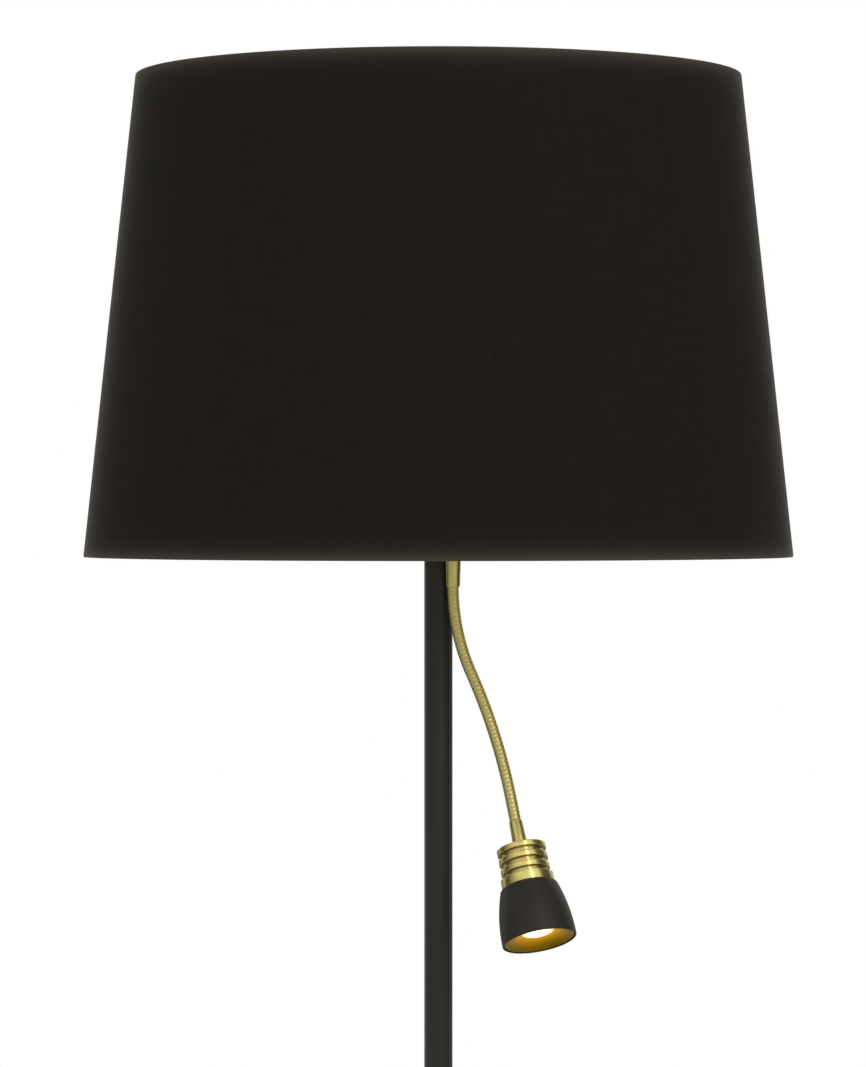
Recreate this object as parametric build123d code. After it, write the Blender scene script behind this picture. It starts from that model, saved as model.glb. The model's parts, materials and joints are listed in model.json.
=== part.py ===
from build123d import *
import os
from math import atan2, ceil, cos, degrees, hypot, radians, sin, sqrt, tan

os.makedirs("parts", exist_ok=True)

# A floor lamp with a fabric drum shade and a reading light on a gooseneck.
# Millimetres, Z up, origin on the floor under the middle of the base, front towards -Y.

# Whole lamp and shade
lamp_height = 1500.0
shade_height = 305.0
shade_bottom_diameter = 450.0
shade_top_diameter = 384.0
fabric_thickness = 0.6
liner_thickness = 0.5
ring_wire_diameter = 4.0
ring_gap = 0.4
hem_tail = 4.0
spoke_diameter = 4.0
spoke_count = 3
hub_ring_width = 10.0
hub_ring_thickness = 2.5

# Pole
pole_diameter = 18.0
pole_wall = 1.0
pole_section_names = ("pole_lower", "pole_middle", "pole_upper")
insert_length = 16.0

# Threaded tube, nuts and washers
stud_diameter = 10.0
stud_bore = 7.0
stud_engagement = 12.0
stud_end = 1.0
nut_across_flats = 14.0
nut_height = 5.0
washer_diameter = 24.0
washer_thickness = 1.5

# Base
base_diameter = 280.0
base_height = 18.0
cover_wall = 1.2
cover_edge_radius = 4.0
felt_thickness = 2.0
felt_hole_margin = 6.0
weight_margin = 8.0
nut_recess_spare = 1.8
nut_recess_margin = 2.0
cord_groove_width = 9.0
gland_bore = 7.0
gland_wall = 1.0
gland_lip = 1.0
gland_rise = 1.0
gland_flange_thickness = 1.5

# Housing for the switches and the driver, just inside the shade
housing_diameter = 64.0
housing_height = 32.0
housing_wall = 1.2
housing_recess = 9.0
lid_lip_depth = 5.0
driver_depth = 14.0
driver_width = 16.0
driver_height = 24.0
driver_edge = 1.0
driver_margin = 3.8

# Push buttons under the housing
button_diameter = 9.0
button_projection = 4.5
button_edge = 1.2
button_flange_diameter = 11.5
button_flange_thickness = 1.2
button_travel = 2.5
button_spread = 60.0
switch_diameter = 15.0
switch_height = 16.0
switch_margin = 3.3

# Lampholder and bulb
holder_diameter = 40.0
holder_wall = 2.0
holder_chamber = 3.0
holder_cone_height = 11.0
holder_ledge = 4.0
holder_step = 1.0
holder_skirt_height = 36.0
holder_entry_diameter = 24.0
holder_flange_width = 2.5
holder_flange_thickness = 2.0
holder_thread_diameter = 39.0
insert_disc_height = 10.0
shell_height = 24.0
shell_wall = 0.6
contact_height = 2.0
contact_diameter = 10.0
shade_nut_width = 6.5
shade_nut_height = 8.0
bulb_cap_diameter = 26.6
bulb_cap_height = 24.0
bulb_tip_diameter = 9.4
bulb_cone_height = 4.8
bulb_diameter = 60.0
bulb_length = 106.0
bulb_wall = 1.0

# Gooseneck
neck_diameter = 7.4
neck_groove_depth = 0.45
neck_bore = 3.0
neck_length = 155.7
neck_grip = 4.0
neck_clearance = 0.4
neck_azimuth = -51.3
neck_link_count = 12
ribs_per_link = 5
neck_lean_peak = 23.9
neck_lean_peak_at = 0.36
neck_lean_end = 11.3
neck_lean_end_at = 0.90
neck_tilt_end = 22.6
neck_bend_each = 13.0
neck_bend_margin = 0.6
neck_joint_gap = 0.12
lead_diameter = 2.4

# Brass ferrules at both ends of the gooseneck
upper_ferrule_diameter = 10.8
upper_ferrule_tip_diameter = 8.9
upper_ferrule_drop = 19.1
lower_ferrule_diameter = 9.4
lower_ferrule_tip_diameter = 8.4
lower_ferrule_length = 17.9
ferrule_tip_chamfer = 0.5
spigot_diameter = 6.0
spigot_spare = 3.8
spigot_nut_across_flats = 10.0
spigot_nut_height = 4.0

# Reading head
collar_diameter = 31.0
collar_groove_depth = 1.7
collar_land = 3.5
collar_groove = 3.05
collar_groove_count = 3
collar_foot_diameter = 33.4
collar_foot = 6.05
collar_edge = 0.5
collar_top_wall = 5.0
pin_spare = 1.0
cup_length = 36.1
cup_shoulder_diameter = 35.5
cup_mouth_diameter = 46.8
cup_bulge = 1.6
cup_wall = 1.2
cup_edge = 1.6
cup_ring_width = 3.0
cup_ring_height = 3.0
lens_depth = 6.0
lens_diameter = 21.0
lens_back_diameter = 11.0
lens_height = 10.5
lens_rim = 2.0
lens_hollow_diameter = 7.0
lens_hollow_depth = 3.2
lens_holder_wall = 1.2
board_thickness = 1.6
emitter_size = 3.5
emitter_height = 1.8
reflector_thickness = 0.6
reflector_lip = 0.7

# Gaps between pieces that are put together, and how far a cut runs past its piece
fit_gap = 0.1
running_gap = 0.3
cut_over = 1.0

# Heights that follow from these sizes
shade_bottom = lamp_height - shade_height
housing_floor = shade_bottom + housing_recess
housing_top = housing_floor + housing_height
pole_section_count = len(pole_section_names)
pole_section_length = (housing_floor - base_height) / pole_section_count
weight_radius = base_diameter / 2 - cover_wall - weight_margin
weight_top = base_height - cover_wall
stud_radius = stud_diameter / 2
stud_hole = stud_radius + fit_gap
holder_cap_height = stud_engagement + holder_chamber + insert_disc_height / 2
holder_split = housing_top + holder_cap_height
holder_top = holder_split + holder_skirt_height
insert_disc_top = holder_split + insert_disc_height / 2
hub_ring_bottom = holder_split + holder_flange_thickness
hub_ring_top = hub_ring_bottom + hub_ring_thickness
hub_ring_inner = holder_thread_diameter / 2 + running_gap
hub_ring_outer = hub_ring_inner + hub_ring_width
bulb_bottom = insert_disc_top + contact_height
neck_top = shade_bottom - upper_ferrule_drop
pole_radius = pole_diameter / 2
neck_radius = neck_diameter / 2
neck_reach = pole_radius + upper_ferrule_diameter / 2 + neck_clearance
nut_recess_depth = washer_thickness + nut_height + nut_recess_spare
nut_recess_radius = washer_diameter / 2 + nut_recess_margin
gland_flange_radius = gland_bore / 2 + gland_wall + gland_lip
spigot_length = housing_wall + spigot_nut_height + spigot_spare


def ring(outer, inner, bottom, top):
    """A plain ring round the Z axis, from its two radii and two heights."""
    section = Circle(outer) - Circle(inner) if inner > 0 else Circle(outer)
    return Pos(0, 0, bottom) * extrude(section, top - bottom)


def lathe(points):
    """A solid turned round the Z axis from a closed outline of radius and height pairs."""
    outline = Polyline(*[(r, 0, z) for r, z in points], close=True)
    return revolve(make_face(outline), axis=Axis.Z)


def hex_nut(across_flats, hole, bottom, height):
    """A hexagon nut round the Z axis."""
    section = RegularPolygon(across_flats / 2, 6, major_radius=False) - Circle(hole)
    return Pos(0, 0, bottom) * extrude(section, height)


def around(reach, azimuth):
    """The place at a distance from the pole's axis, in a direction seen from above."""
    return Pos(reach * cos(radians(azimuth)), reach * sin(radians(azimuth)), 0)


# The shade's wall slopes inward as it rises. The wire rings lie behind it, in its folded edges.

roll_radius = ring_wire_diameter / 2 + ring_gap + fabric_thickness
wall_run = (shade_bottom_diameter - shade_top_diameter) / 2
wall_slant = hypot(wall_run, shade_height)
wall_out = (shade_height / wall_slant, wall_run / wall_slant)
wall_up = (-wall_run / wall_slant, shade_height / wall_slant)


def wall_radius(height, depth):
    """Radius of the shade's wall at a height, at a depth behind its outer face."""
    outer_face = shade_bottom_diameter / 2 - wall_run * (height - shade_bottom) / shade_height
    return outer_face - depth / wall_out[0]


def ring_centre(height):
    """Radius and height of a wire ring that lies behind the wall."""
    return (wall_radius(height, roll_radius), height)


bottom_ring = ring_centre(shade_bottom + roll_radius)
top_ring = ring_centre(lamp_height - roll_radius)


def wall_point(centre, outward, upward):
    """A point beside a wire ring, measured across and along the shade's wall."""
    return (
        centre[0] + outward * wall_out[0] + upward * wall_up[0],
        0,
        centre[1] + outward * wall_out[1] + upward * wall_up[1],
    )


def fabric_fold(centre, reach, side):
    """Points of the fabric's way round a wire ring: the fold, the ring's end, its back, the tail.

    Side is 1 at the top edge and -1 at the bottom one.
    """
    edge = centre[1] + side * reach
    slope = reach * sqrt(0.5)
    return (
        (wall_radius(edge, roll_radius - reach), 0, edge),
        (centre[0], 0, edge),
        wall_point(centre, -slope, side * slope),
        wall_point(centre, -reach, 0),
        wall_point(centre, -reach, -side * hem_tail),
    )


def shade_fabric():
    """The fabric wall, folded over both edges and turned in behind the wire rings."""
    outer = roll_radius
    inner = roll_radius - fabric_thickness
    top_out = fabric_fold(top_ring, outer, 1)
    top_in = fabric_fold(top_ring, inner, 1)
    low_out = fabric_fold(bottom_ring, outer, -1)
    low_in = fabric_fold(bottom_ring, inner, -1)
    outline = (
        Polyline(low_out[1], low_out[0], top_out[0], top_out[1])
        + ThreePointArc(top_out[1], top_out[2], top_out[3])
        + Polyline(top_out[3], top_out[4], top_in[4], top_in[3])
        + ThreePointArc(top_in[3], top_in[2], top_in[1])
        + Polyline(top_in[1], top_in[0], low_in[0], low_in[1])
        + ThreePointArc(low_in[1], low_in[2], low_in[3])
        + Polyline(low_in[3], low_in[4], low_out[4], low_out[3])
        + ThreePointArc(low_out[3], low_out[2], low_out[1])
    )
    wall = revolve(make_face(outline), axis=Axis.Z)
    for spoke in spokes(spoke_diameter / 2 + running_gap):
        wall -= spoke
    return wall


def shade_liner():
    """The stiff sheet behind the fabric, between the two wire rings."""
    outer = ring_wire_diameter / 2
    inner = outer - liner_thickness
    end = ring_wire_diameter / 2 + running_gap
    corners = [
        wall_point(bottom_ring, outer, end),
        wall_point(bottom_ring, inner, end),
        wall_point(top_ring, inner, -end),
        wall_point(top_ring, outer, -end),
    ]
    return lathe([(p[0], p[2]) for p in corners])


def wire_ring(centre):
    """A ring of round wire at a radius and height."""
    return Pos(0, 0, centre[1]) * Torus(centre[0], ring_wire_diameter / 2)


def spokes(radius):
    """The straight wires from the hub ring out and down to the bottom wire ring."""
    start = hub_ring_outer - spoke_diameter / 2
    start_height = hub_ring_bottom + hub_ring_thickness / 2
    run = bottom_ring[0] - start
    drop = start_height - bottom_ring[1]
    wires = []
    for number in range(spoke_count):
        turn = Rot(0, 0, 90 + 360 * number / spoke_count)
        slope = Rot(0, 90 + degrees(atan2(drop, run)), 0)
        wire = Cylinder(radius, hypot(run, drop), align=(Align.CENTER, Align.CENTER, Align.MIN))
        wires.append(turn * Pos(start, 0, start_height) * slope * wire)
    return wires


def shade_spider():
    """The hub ring and its spokes, which end against the bottom wire ring."""
    spider = ring(hub_ring_outer, hub_ring_inner, hub_ring_bottom, hub_ring_top)
    for spoke in spokes(spoke_diameter / 2):
        spider += spoke
    end = Pos(0, 0, bottom_ring[1]) * Torus(bottom_ring[0], ring_wire_diameter / 2 + fit_gap)
    return spider - end


# Base


def gland_height():
    """Height of the cord inlet's middle, in the upright part of the cover's edge."""
    return felt_thickness + gland_flange_radius + gland_rise


def gland_flat():
    """Distance of the gland's inner flange from the axis, where it meets the curved wall."""
    return sqrt((base_diameter / 2 - cover_wall) ** 2 - gland_flange_radius**2) - fit_gap


def base_felt():
    """The felt pad that the lamp stands on."""
    return ring(weight_radius, nut_recess_radius + felt_hole_margin, 0, felt_thickness)


def base_weight():
    """The iron disc, with its nut recess and the cord's groove underneath."""
    disc = ring(weight_radius, stud_hole, felt_thickness, weight_top)
    disc -= ring(nut_recess_radius, 0, felt_thickness, felt_thickness + nut_recess_depth)
    groove_top = gland_height() + cord_groove_width / 2
    groove = Box(
        cord_groove_width,
        weight_radius + cut_over,
        groove_top - felt_thickness,
        align=(Align.CENTER, Align.MIN, Align.MIN),
    )
    return disc - Pos(0, 0, felt_thickness) * groove


def base_cover():
    """The pressed steel cover with its rounded edge, pole hole and cord hole."""
    radius = base_diameter / 2
    outside = ring(radius, 0, felt_thickness, base_height)
    outside = fillet(outside.edges().group_by(Axis.Z)[-1], cover_edge_radius)
    inside = ring(radius - cover_wall, 0, felt_thickness, weight_top)
    inside = fillet(inside.edges().group_by(Axis.Z)[-1], cover_edge_radius - cover_wall)
    shell = outside - inside - ring(stud_hole, 0, 0, base_height + cut_over)
    cord_hole = Rot(-90, 0, 0) * Cylinder(gland_bore / 2 + gland_wall + fit_gap, base_diameter)
    return shell - Pos(0, radius, gland_height()) * cord_hole


def cord_gland():
    """The bush in the cover's back edge that the mains cord would come through."""
    neck = gland_bore / 2 + gland_wall
    flange = gland_flange_radius
    outer_face = base_diameter / 2
    inner_face = gland_flat()
    bush = lathe(
        [
            (gland_bore / 2, inner_face - gland_flange_thickness),
            (flange, inner_face - gland_flange_thickness),
            (flange, inner_face),
            (neck, inner_face),
            (neck, outer_face),
            (flange, outer_face),
            (flange, outer_face + gland_flange_thickness),
            (gland_bore / 2, outer_face + gland_flange_thickness),
        ]
    )
    return Pos(0, 0, gland_height()) * Rot(-90, 0, 0) * bush


recess_top = felt_thickness + nut_recess_depth
base_nut_bottom = recess_top - washer_thickness - nut_height
top_stud_end = housing_top + stud_engagement - stud_end


def stud(bottom, top):
    """A length of hollow threaded tube on the pole's axis."""
    return ring(stud_radius, stud_bore / 2, bottom, top)


# Pole


def pole_section(number):
    """One length of the pole, counted from the base."""
    bottom = base_height + number * pole_section_length
    return ring(pole_radius, pole_radius - pole_wall, bottom, bottom + pole_section_length)


def pole_inserts():
    """The threaded plugs inside both ends of every pole section."""
    plugs = []
    for number in range(pole_section_count):
        low = base_height + number * pole_section_length
        high = low + pole_section_length
        outer = pole_radius - pole_wall - fit_gap
        plugs.append(ring(outer, stud_hole, low, low + insert_length))
        plugs.append(ring(outer, stud_hole, high - insert_length, high))
    return Compound(children=plugs)


def pole_studs():
    """The threaded tubes that join the pole sections."""
    studs = []
    for number in range(1, pole_section_count):
        seam = base_height + number * pole_section_length
        studs.append(stud(seam - stud_engagement, seam + stud_engagement))
    return Compound(children=studs)


# Housing


driver_azimuth = neck_azimuth + 90
button_azimuths = [
    neck_azimuth + 180 - button_spread / 2,
    neck_azimuth + 180 + button_spread / 2,
]
housing_inside = housing_floor + housing_wall
housing_room = housing_diameter / 2 - housing_wall
driver_reach = housing_room - driver_margin - driver_depth / 2
button_reach = housing_room - switch_margin - switch_diameter / 2


def housing_body():
    """The round tray on top of the pole, with holes for the neck and the buttons."""
    outer = housing_diameter / 2
    body = ring(outer, 0, housing_floor, housing_top - housing_wall)
    body -= ring(outer - housing_wall, 0, housing_inside, housing_top)
    body -= ring(stud_hole, 0, housing_floor - cut_over, housing_top)
    low = housing_floor - cut_over
    high = housing_inside + cut_over
    body -= around(neck_reach, neck_azimuth) * ring(spigot_diameter / 2 + fit_gap, 0, low, high)
    for azimuth in button_azimuths:
        hole = ring(button_diameter / 2 + running_gap, 0, low, high)
        body -= around(button_reach, azimuth) * hole
    return body


def housing_lid():
    """The lid, with a lip that fits inside the tray's wall."""
    outer = housing_diameter / 2
    lip = outer - housing_wall - fit_gap
    plate = ring(outer, stud_hole, housing_top - housing_wall, housing_top)
    lip_bottom = housing_top - housing_wall - lid_lip_depth
    return plate + ring(lip, lip - housing_wall, lip_bottom, housing_top - housing_wall)


def led_driver():
    """The block that feeds the reading light."""
    block = Box(
        driver_depth, driver_width, driver_height, align=(Align.CENTER, Align.CENTER, Align.MIN)
    )
    block = fillet(block.edges().filter_by(Axis.Z), driver_edge)
    place = around(driver_reach, driver_azimuth) * Rot(0, 0, driver_azimuth)
    return place * Pos(0, 0, housing_inside) * block


def switch_bodies():
    """The two push switches, each over its button's flange."""
    cavity = running_gap + button_flange_thickness + button_travel + running_gap
    switches = []
    for azimuth in button_azimuths:
        body = ring(switch_diameter / 2, 0, housing_inside, housing_inside + switch_height)
        room = button_flange_diameter / 2 + running_gap
        body -= ring(room, 0, housing_inside, housing_inside + cavity)
        switches.append(around(button_reach, azimuth) * body)
    return Compound(children=switches)


def push_button(azimuth):
    """A round push button, held in by a flange above the tray's floor."""
    flange_bottom = housing_inside + running_gap / 2
    cap = ring(button_diameter / 2, 0, housing_floor - button_projection, flange_bottom)
    cap = fillet(cap.edges().group_by(Axis.Z)[0], button_edge)
    flange_top = flange_bottom + button_flange_thickness
    flange = ring(button_flange_diameter / 2, 0, flange_bottom, flange_top)
    return around(button_reach, azimuth) * (cap + flange)


# Lampholder and bulb


def lampholder_cap():
    """The lower cover of the lampholder, screwed on the threaded tube."""
    outer = holder_diameter / 2
    inner = outer - holder_wall
    entry = holder_entry_diameter / 2
    ledge = insert_disc_top - insert_disc_height
    floor = housing_top + stud_engagement
    return lathe(
        [
            (stud_hole, housing_top),
            (entry, housing_top),
            (outer, housing_top + holder_cone_height),
            (outer, holder_split),
            (inner, holder_split),
            (inner, ledge),
            (inner - holder_ledge, ledge),
            (inner - holder_ledge, floor),
            (stud_hole, floor),
        ]
    )


def lampholder_skirt():
    """The upper sleeve of the lampholder, with the flange that carries the shade."""
    thread = holder_thread_diameter / 2
    flange = holder_diameter / 2 + holder_flange_width
    seat = holder_diameter / 2 - holder_wall
    bore = seat - holder_step
    return lathe(
        [
            (seat, holder_split),
            (flange, holder_split),
            (flange, hub_ring_bottom),
            (thread, hub_ring_bottom),
            (thread, holder_top),
            (bore, holder_top),
            (bore, insert_disc_top),
            (seat, insert_disc_top),
        ]
    )


def lampholder_insert():
    """The ceramic disc that carries the contacts."""
    outer = holder_diameter / 2 - holder_wall - fit_gap
    return ring(outer, stud_bore / 2, insert_disc_top - insert_disc_height, insert_disc_top)


def lampholder_shell():
    """The screw shell that takes the bulb's cap."""
    inner = bulb_cap_diameter / 2 + running_gap
    return ring(inner + shell_wall, inner, insert_disc_top, insert_disc_top + shell_height)


def lampholder_contact():
    """The sprung middle contact under the bulb."""
    return ring(contact_diameter / 2, 0, insert_disc_top, bulb_bottom)


def shade_ring_nut():
    """The ring nut that holds the shade's hub on the lampholder."""
    inner = holder_thread_diameter / 2 + fit_gap
    return ring(inner + shade_nut_width, inner, hub_ring_top, hub_ring_top + shade_nut_height)


bulb_cap_top = bulb_bottom + bulb_cap_height


def bulb_cap():
    """The bulb's screw cap and its middle contact."""
    outer = bulb_cap_diameter / 2
    return lathe(
        [
            (0, bulb_bottom),
            (bulb_tip_diameter / 2, bulb_bottom),
            (outer, bulb_bottom + bulb_cone_height),
            (outer, bulb_cap_top),
            (0, bulb_cap_top),
        ]
    )


def globe_outline(inset):
    """Outline points of the globe's side: its neck, its tangent point and its middle."""
    radius = bulb_diameter / 2 - inset
    centre = bulb_bottom + bulb_length - bulb_diameter / 2
    neck = bulb_cap_diameter / 2 - inset
    reach = hypot(neck, centre - bulb_cap_top)
    turn = atan2(neck, centre - bulb_cap_top) + atan2(radius, sqrt(reach**2 - radius**2))
    touch = (radius * cos(turn), centre - radius * sin(turn))
    middle = (radius, centre)
    top = centre + radius
    return (neck, bulb_cap_top), touch, middle, top


def bulb_globe():
    """The opal globe, a thin shell that is open where it meets the cap."""

    def filled(inset):
        neck, touch, middle, top = globe_outline(inset)
        outline = (
            Polyline((0, 0, neck[1]), (neck[0], 0, neck[1]), (touch[0], 0, touch[1]))
            + ThreePointArc((touch[0], 0, touch[1]), (middle[0], 0, middle[1]), (0, 0, top))
            + Line((0, 0, top), (0, 0, neck[1]))
        )
        return revolve(make_face(outline), axis=Axis.Z)

    return filled(0) - filled(bulb_wall)


# The gooseneck hangs from the housing, leans out to the right and comes forward.
# It is cut into links that turn on one another, so that it can be bent.

neck_place = around(neck_reach, neck_azimuth).position
neck_start = Vector(neck_place.X, neck_place.Y, neck_top)
rib_pitch = (neck_length + 2 * neck_grip) / (neck_link_count * ribs_per_link)
link_length = rib_pitch * ribs_per_link


def neck_heading(distance):
    """Direction of the neck at a distance along it from the upper ferrule's tip."""
    part = min(max(distance / neck_length, 0), 1)
    if part < neck_lean_peak_at:
        lean = neck_lean_peak * part / neck_lean_peak_at
    elif part < neck_lean_end_at:
        fall = (part - neck_lean_peak_at) / (neck_lean_end_at - neck_lean_peak_at)
        lean = neck_lean_peak + (neck_lean_end - neck_lean_peak) * fall
    else:
        lean = neck_lean_end
    tilt = neck_tilt_end * part
    return Vector(tan(radians(lean)), -tan(radians(tilt)), -1).normalized()


def neck_point(distance):
    """Point on the neck's middle line, added up from its headings in small steps."""
    if distance <= 0:
        return neck_start + neck_heading(0) * distance
    steps = max(ceil(min(distance, neck_length)), 1)
    step = min(distance, neck_length) / steps
    point = neck_start
    for number in range(steps):
        point = point + neck_heading((number + 0.5) * step) * step
    return point + neck_heading(neck_length) * max(distance - neck_length, 0)


def neck_plane(distance):
    """Plane across the neck, with its X axis kept towards the lamp's right."""
    return Plane(origin=neck_point(distance), x_dir=(1, 0, 0), z_dir=neck_heading(distance))


def joint_distance(number):
    """Distance along the neck of a joint, counted from 1 under the upper ferrule."""
    return number * link_length - neck_grip


def joint_relief(number):
    """The double cone of air between two links, which lets them turn on each other."""
    reach = neck_radius + cut_over
    spread = neck_joint_gap + reach * tan(radians(neck_bend_each / 2 + neck_bend_margin))
    cones = lathe([(0, -neck_joint_gap), (reach, -spread), (reach, spread), (0, neck_joint_gap)])
    plane = neck_plane(joint_distance(number))
    return plane.location * cones


def neck_tube(distances, radii):
    """A straight-ruled tube through round sections across the neck."""
    sections = [neck_plane(d) * Circle(r) for d, r in zip(distances, radii)]
    return loft(sections, ruled=True)


def neck_link(number):
    """One ribbed link, counted from 1 under the upper ferrule."""
    start = joint_distance(number - 1)
    groove = neck_radius - neck_groove_depth
    distances = [start]
    radii = [groove]
    for rib in range(ribs_per_link):
        foot = start + rib * rib_pitch
        distances += [foot + 0.25 * rib_pitch, foot + 0.75 * rib_pitch, foot + rib_pitch]
        radii += [neck_radius, neck_radius, groove]
    link = neck_tube(distances, radii)
    bore_distances = [start - cut_over, start + link_length / 2, start + link_length + cut_over]
    link -= neck_tube(bore_distances, [neck_bore / 2] * 3)
    if number > 1:
        link -= joint_relief(number - 1)
    if number < neck_link_count:
        link -= joint_relief(number)
    return link


def reading_light_lead():
    """The lead inside the neck, from the housing to the reading light's board."""
    end = neck_length + lower_ferrule_length + collar_top_wall + sink_length
    begin = neck_top - housing_inside - spigot_length
    count = neck_link_count * 2
    step = neck_length / count
    distances = [begin, 0] + [number * step for number in range(1, count + 1)] + [end]
    return neck_tube(distances, [lead_diameter / 2] * len(distances))


def ferrule(tip, wide, length, spigot):
    """A conical ferrule along Z, from its end radii, its tip at 0, gripping the neck at the tip."""
    grip = neck_radius + fit_gap
    bore = neck_bore / 2
    pin = spigot_diameter / 2
    return lathe(
        [
            (grip, 0),
            (tip - ferrule_tip_chamfer / 2, 0),
            (tip, ferrule_tip_chamfer),
            (wide, length),
            (pin, length),
            (pin, length + spigot),
            (bore, length + spigot),
            (bore, neck_grip),
            (grip, neck_grip),
        ]
    )


def upper_ferrule():
    """The ferrule that hangs under the housing, its pin up through the tray's floor."""
    place = Pos(neck_start.X, neck_start.Y, neck_top)
    return place * ferrule(
        upper_ferrule_tip_diameter / 2,
        upper_ferrule_diameter / 2,
        housing_floor - neck_top,
        spigot_length,
    )


def upper_ferrule_nut():
    """The nut on the upper ferrule's pin, inside the housing."""
    nut = hex_nut(
        spigot_nut_across_flats, spigot_diameter / 2 + fit_gap, housing_inside, spigot_nut_height
    )
    return Pos(neck_start.X, neck_start.Y, 0) * nut


# The reading head is turned about the line of the neck's end. Lengths along that line
# are counted from the top of the collar.

collar_length = collar_groove_count * (collar_land + collar_groove) + collar_foot
head_length = collar_length + cup_length
lens_front = head_length - lens_depth
holder_length = lens_height + board_thickness + running_gap
board_top = lens_front - holder_length
sink_length = board_top - collar_top_wall
sink_radius = lens_diameter / 2 + lens_holder_wall
collar_inner = sink_radius + fit_gap
head_place = neck_plane(neck_length + lower_ferrule_length).location


def lower_ferrule():
    """The ferrule between the neck and the reading head's collar."""
    return neck_plane(neck_length).location * ferrule(
        lower_ferrule_tip_diameter / 2,
        lower_ferrule_diameter / 2,
        lower_ferrule_length,
        collar_top_wall - pin_spare,
    )


def head_collar():
    """The turned collar with its grooves, hollow for the heat sink."""
    foot = collar_foot_diameter / 2
    land = collar_diameter / 2
    pin = spigot_diameter / 2 + fit_gap
    points = [(pin, 0), (land - collar_edge, 0)]
    height = 0
    for number in range(collar_groove_count):
        low = height + collar_land
        points += [
            (land, height + collar_edge),
            (land, low - collar_edge),
            (land - collar_edge, low),
            (land - collar_groove_depth, low),
            (land - collar_groove_depth, low + collar_groove),
        ]
        height = low + collar_groove
        following = land if number < collar_groove_count - 1 else foot
        points.append((following - collar_edge, height))
    points += [
        (foot, height + collar_edge),
        (foot, collar_length),
        (collar_inner, collar_length),
        (collar_inner, collar_top_wall),
        (pin, collar_top_wall),
    ]
    return head_place * lathe(points)


def head_heat_sink():
    """The slug inside the collar and the cup that carries the board and cools it."""
    slug = ring(sink_radius, neck_bore / 2, collar_top_wall, board_top)
    return head_place * slug


def cup_radius(depth, inset):
    """Radius of the cup at a distance below its shoulder, along its bulging side."""
    part = depth / cup_length
    shoulder = cup_shoulder_diameter / 2
    mouth = cup_mouth_diameter / 2
    return shoulder + (mouth - shoulder) * part + 4 * cup_bulge * part * (1 - part) - inset


def cup_body(inset, top, bottom):
    """The solid of the cup's outline, moved in by a wall, between two depths."""
    first = (cup_radius(top, inset), 0, top)
    middle = (cup_radius((top + bottom) / 2, inset), 0, (top + bottom) / 2)
    last = (cup_radius(bottom, inset), 0, bottom)
    outline = (
        Polyline((0, 0, bottom), (0, 0, top), first)
        + ThreePointArc(first, middle, last)
        + Line(last, (0, 0, bottom))
    )
    return revolve(make_face(outline), axis=Axis.Z)


def head_cup():
    """The black cup of the reading light, open at its mouth."""
    cup = cup_body(0, 0, cup_length)
    cup = fillet(cup.edges().group_by(Axis.Z)[0], cup_edge)
    cup -= cup_body(cup_wall, cup_wall, cup_length)
    cup -= ring(collar_inner, 0, -cut_over, cup_wall + cut_over)
    return head_place * Pos(0, 0, collar_length) * cup


def head_cup_ring():
    """The ring on the heat sink that holds the cup against the collar."""
    start = collar_length + cup_wall
    clamp = ring(
        sink_radius + fit_gap + cup_ring_width,
        sink_radius + fit_gap,
        start,
        start + cup_ring_height,
    )
    return head_place * clamp


def led_board():
    """The round board under the heat sink."""
    board = ring(lens_diameter / 2 - fit_gap, 0, board_top, board_top + board_thickness)
    return head_place * board


def led_emitter():
    """The square light source on the board."""
    chip = Box(
        emitter_size, emitter_size, emitter_height, align=(Align.CENTER, Align.CENTER, Align.MIN)
    )
    return head_place * Pos(0, 0, board_top + board_thickness) * chip


def head_lens():
    """The moulded lens, hollow at its back over the light source."""
    back = lens_front - lens_height
    rim = lens_diameter / 2 - fit_gap
    hollow = lens_hollow_diameter / 2
    return head_place * lathe(
        [
            (0, lens_front),
            (rim, lens_front),
            (rim, lens_front - lens_rim),
            (lens_back_diameter / 2, back),
            (hollow, back),
            (hollow, back + lens_hollow_depth),
            (0, back + lens_hollow_depth),
        ]
    )


def lens_holder():
    """The sleeve round the board and the lens."""
    bore = lens_diameter / 2
    return head_place * ring(bore + lens_holder_wall, bore, board_top, lens_front)


def reflector():
    """The shallow gold dish from the lens out to the cup's mouth."""
    lens_edge = lens_diameter / 2
    outer_end = head_length - reflector_lip
    outer = cup_radius(cup_length - reflector_lip, cup_wall) - running_gap
    flat = lens_edge + lens_holder_wall
    return head_place * lathe(
        [
            (lens_edge, lens_front),
            (flat, lens_front),
            (outer, outer_end - reflector_thickness),
            (outer, outer_end),
            (flat, lens_front + reflector_thickness),
            (lens_edge, lens_front + reflector_thickness),
        ]
    )


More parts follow.
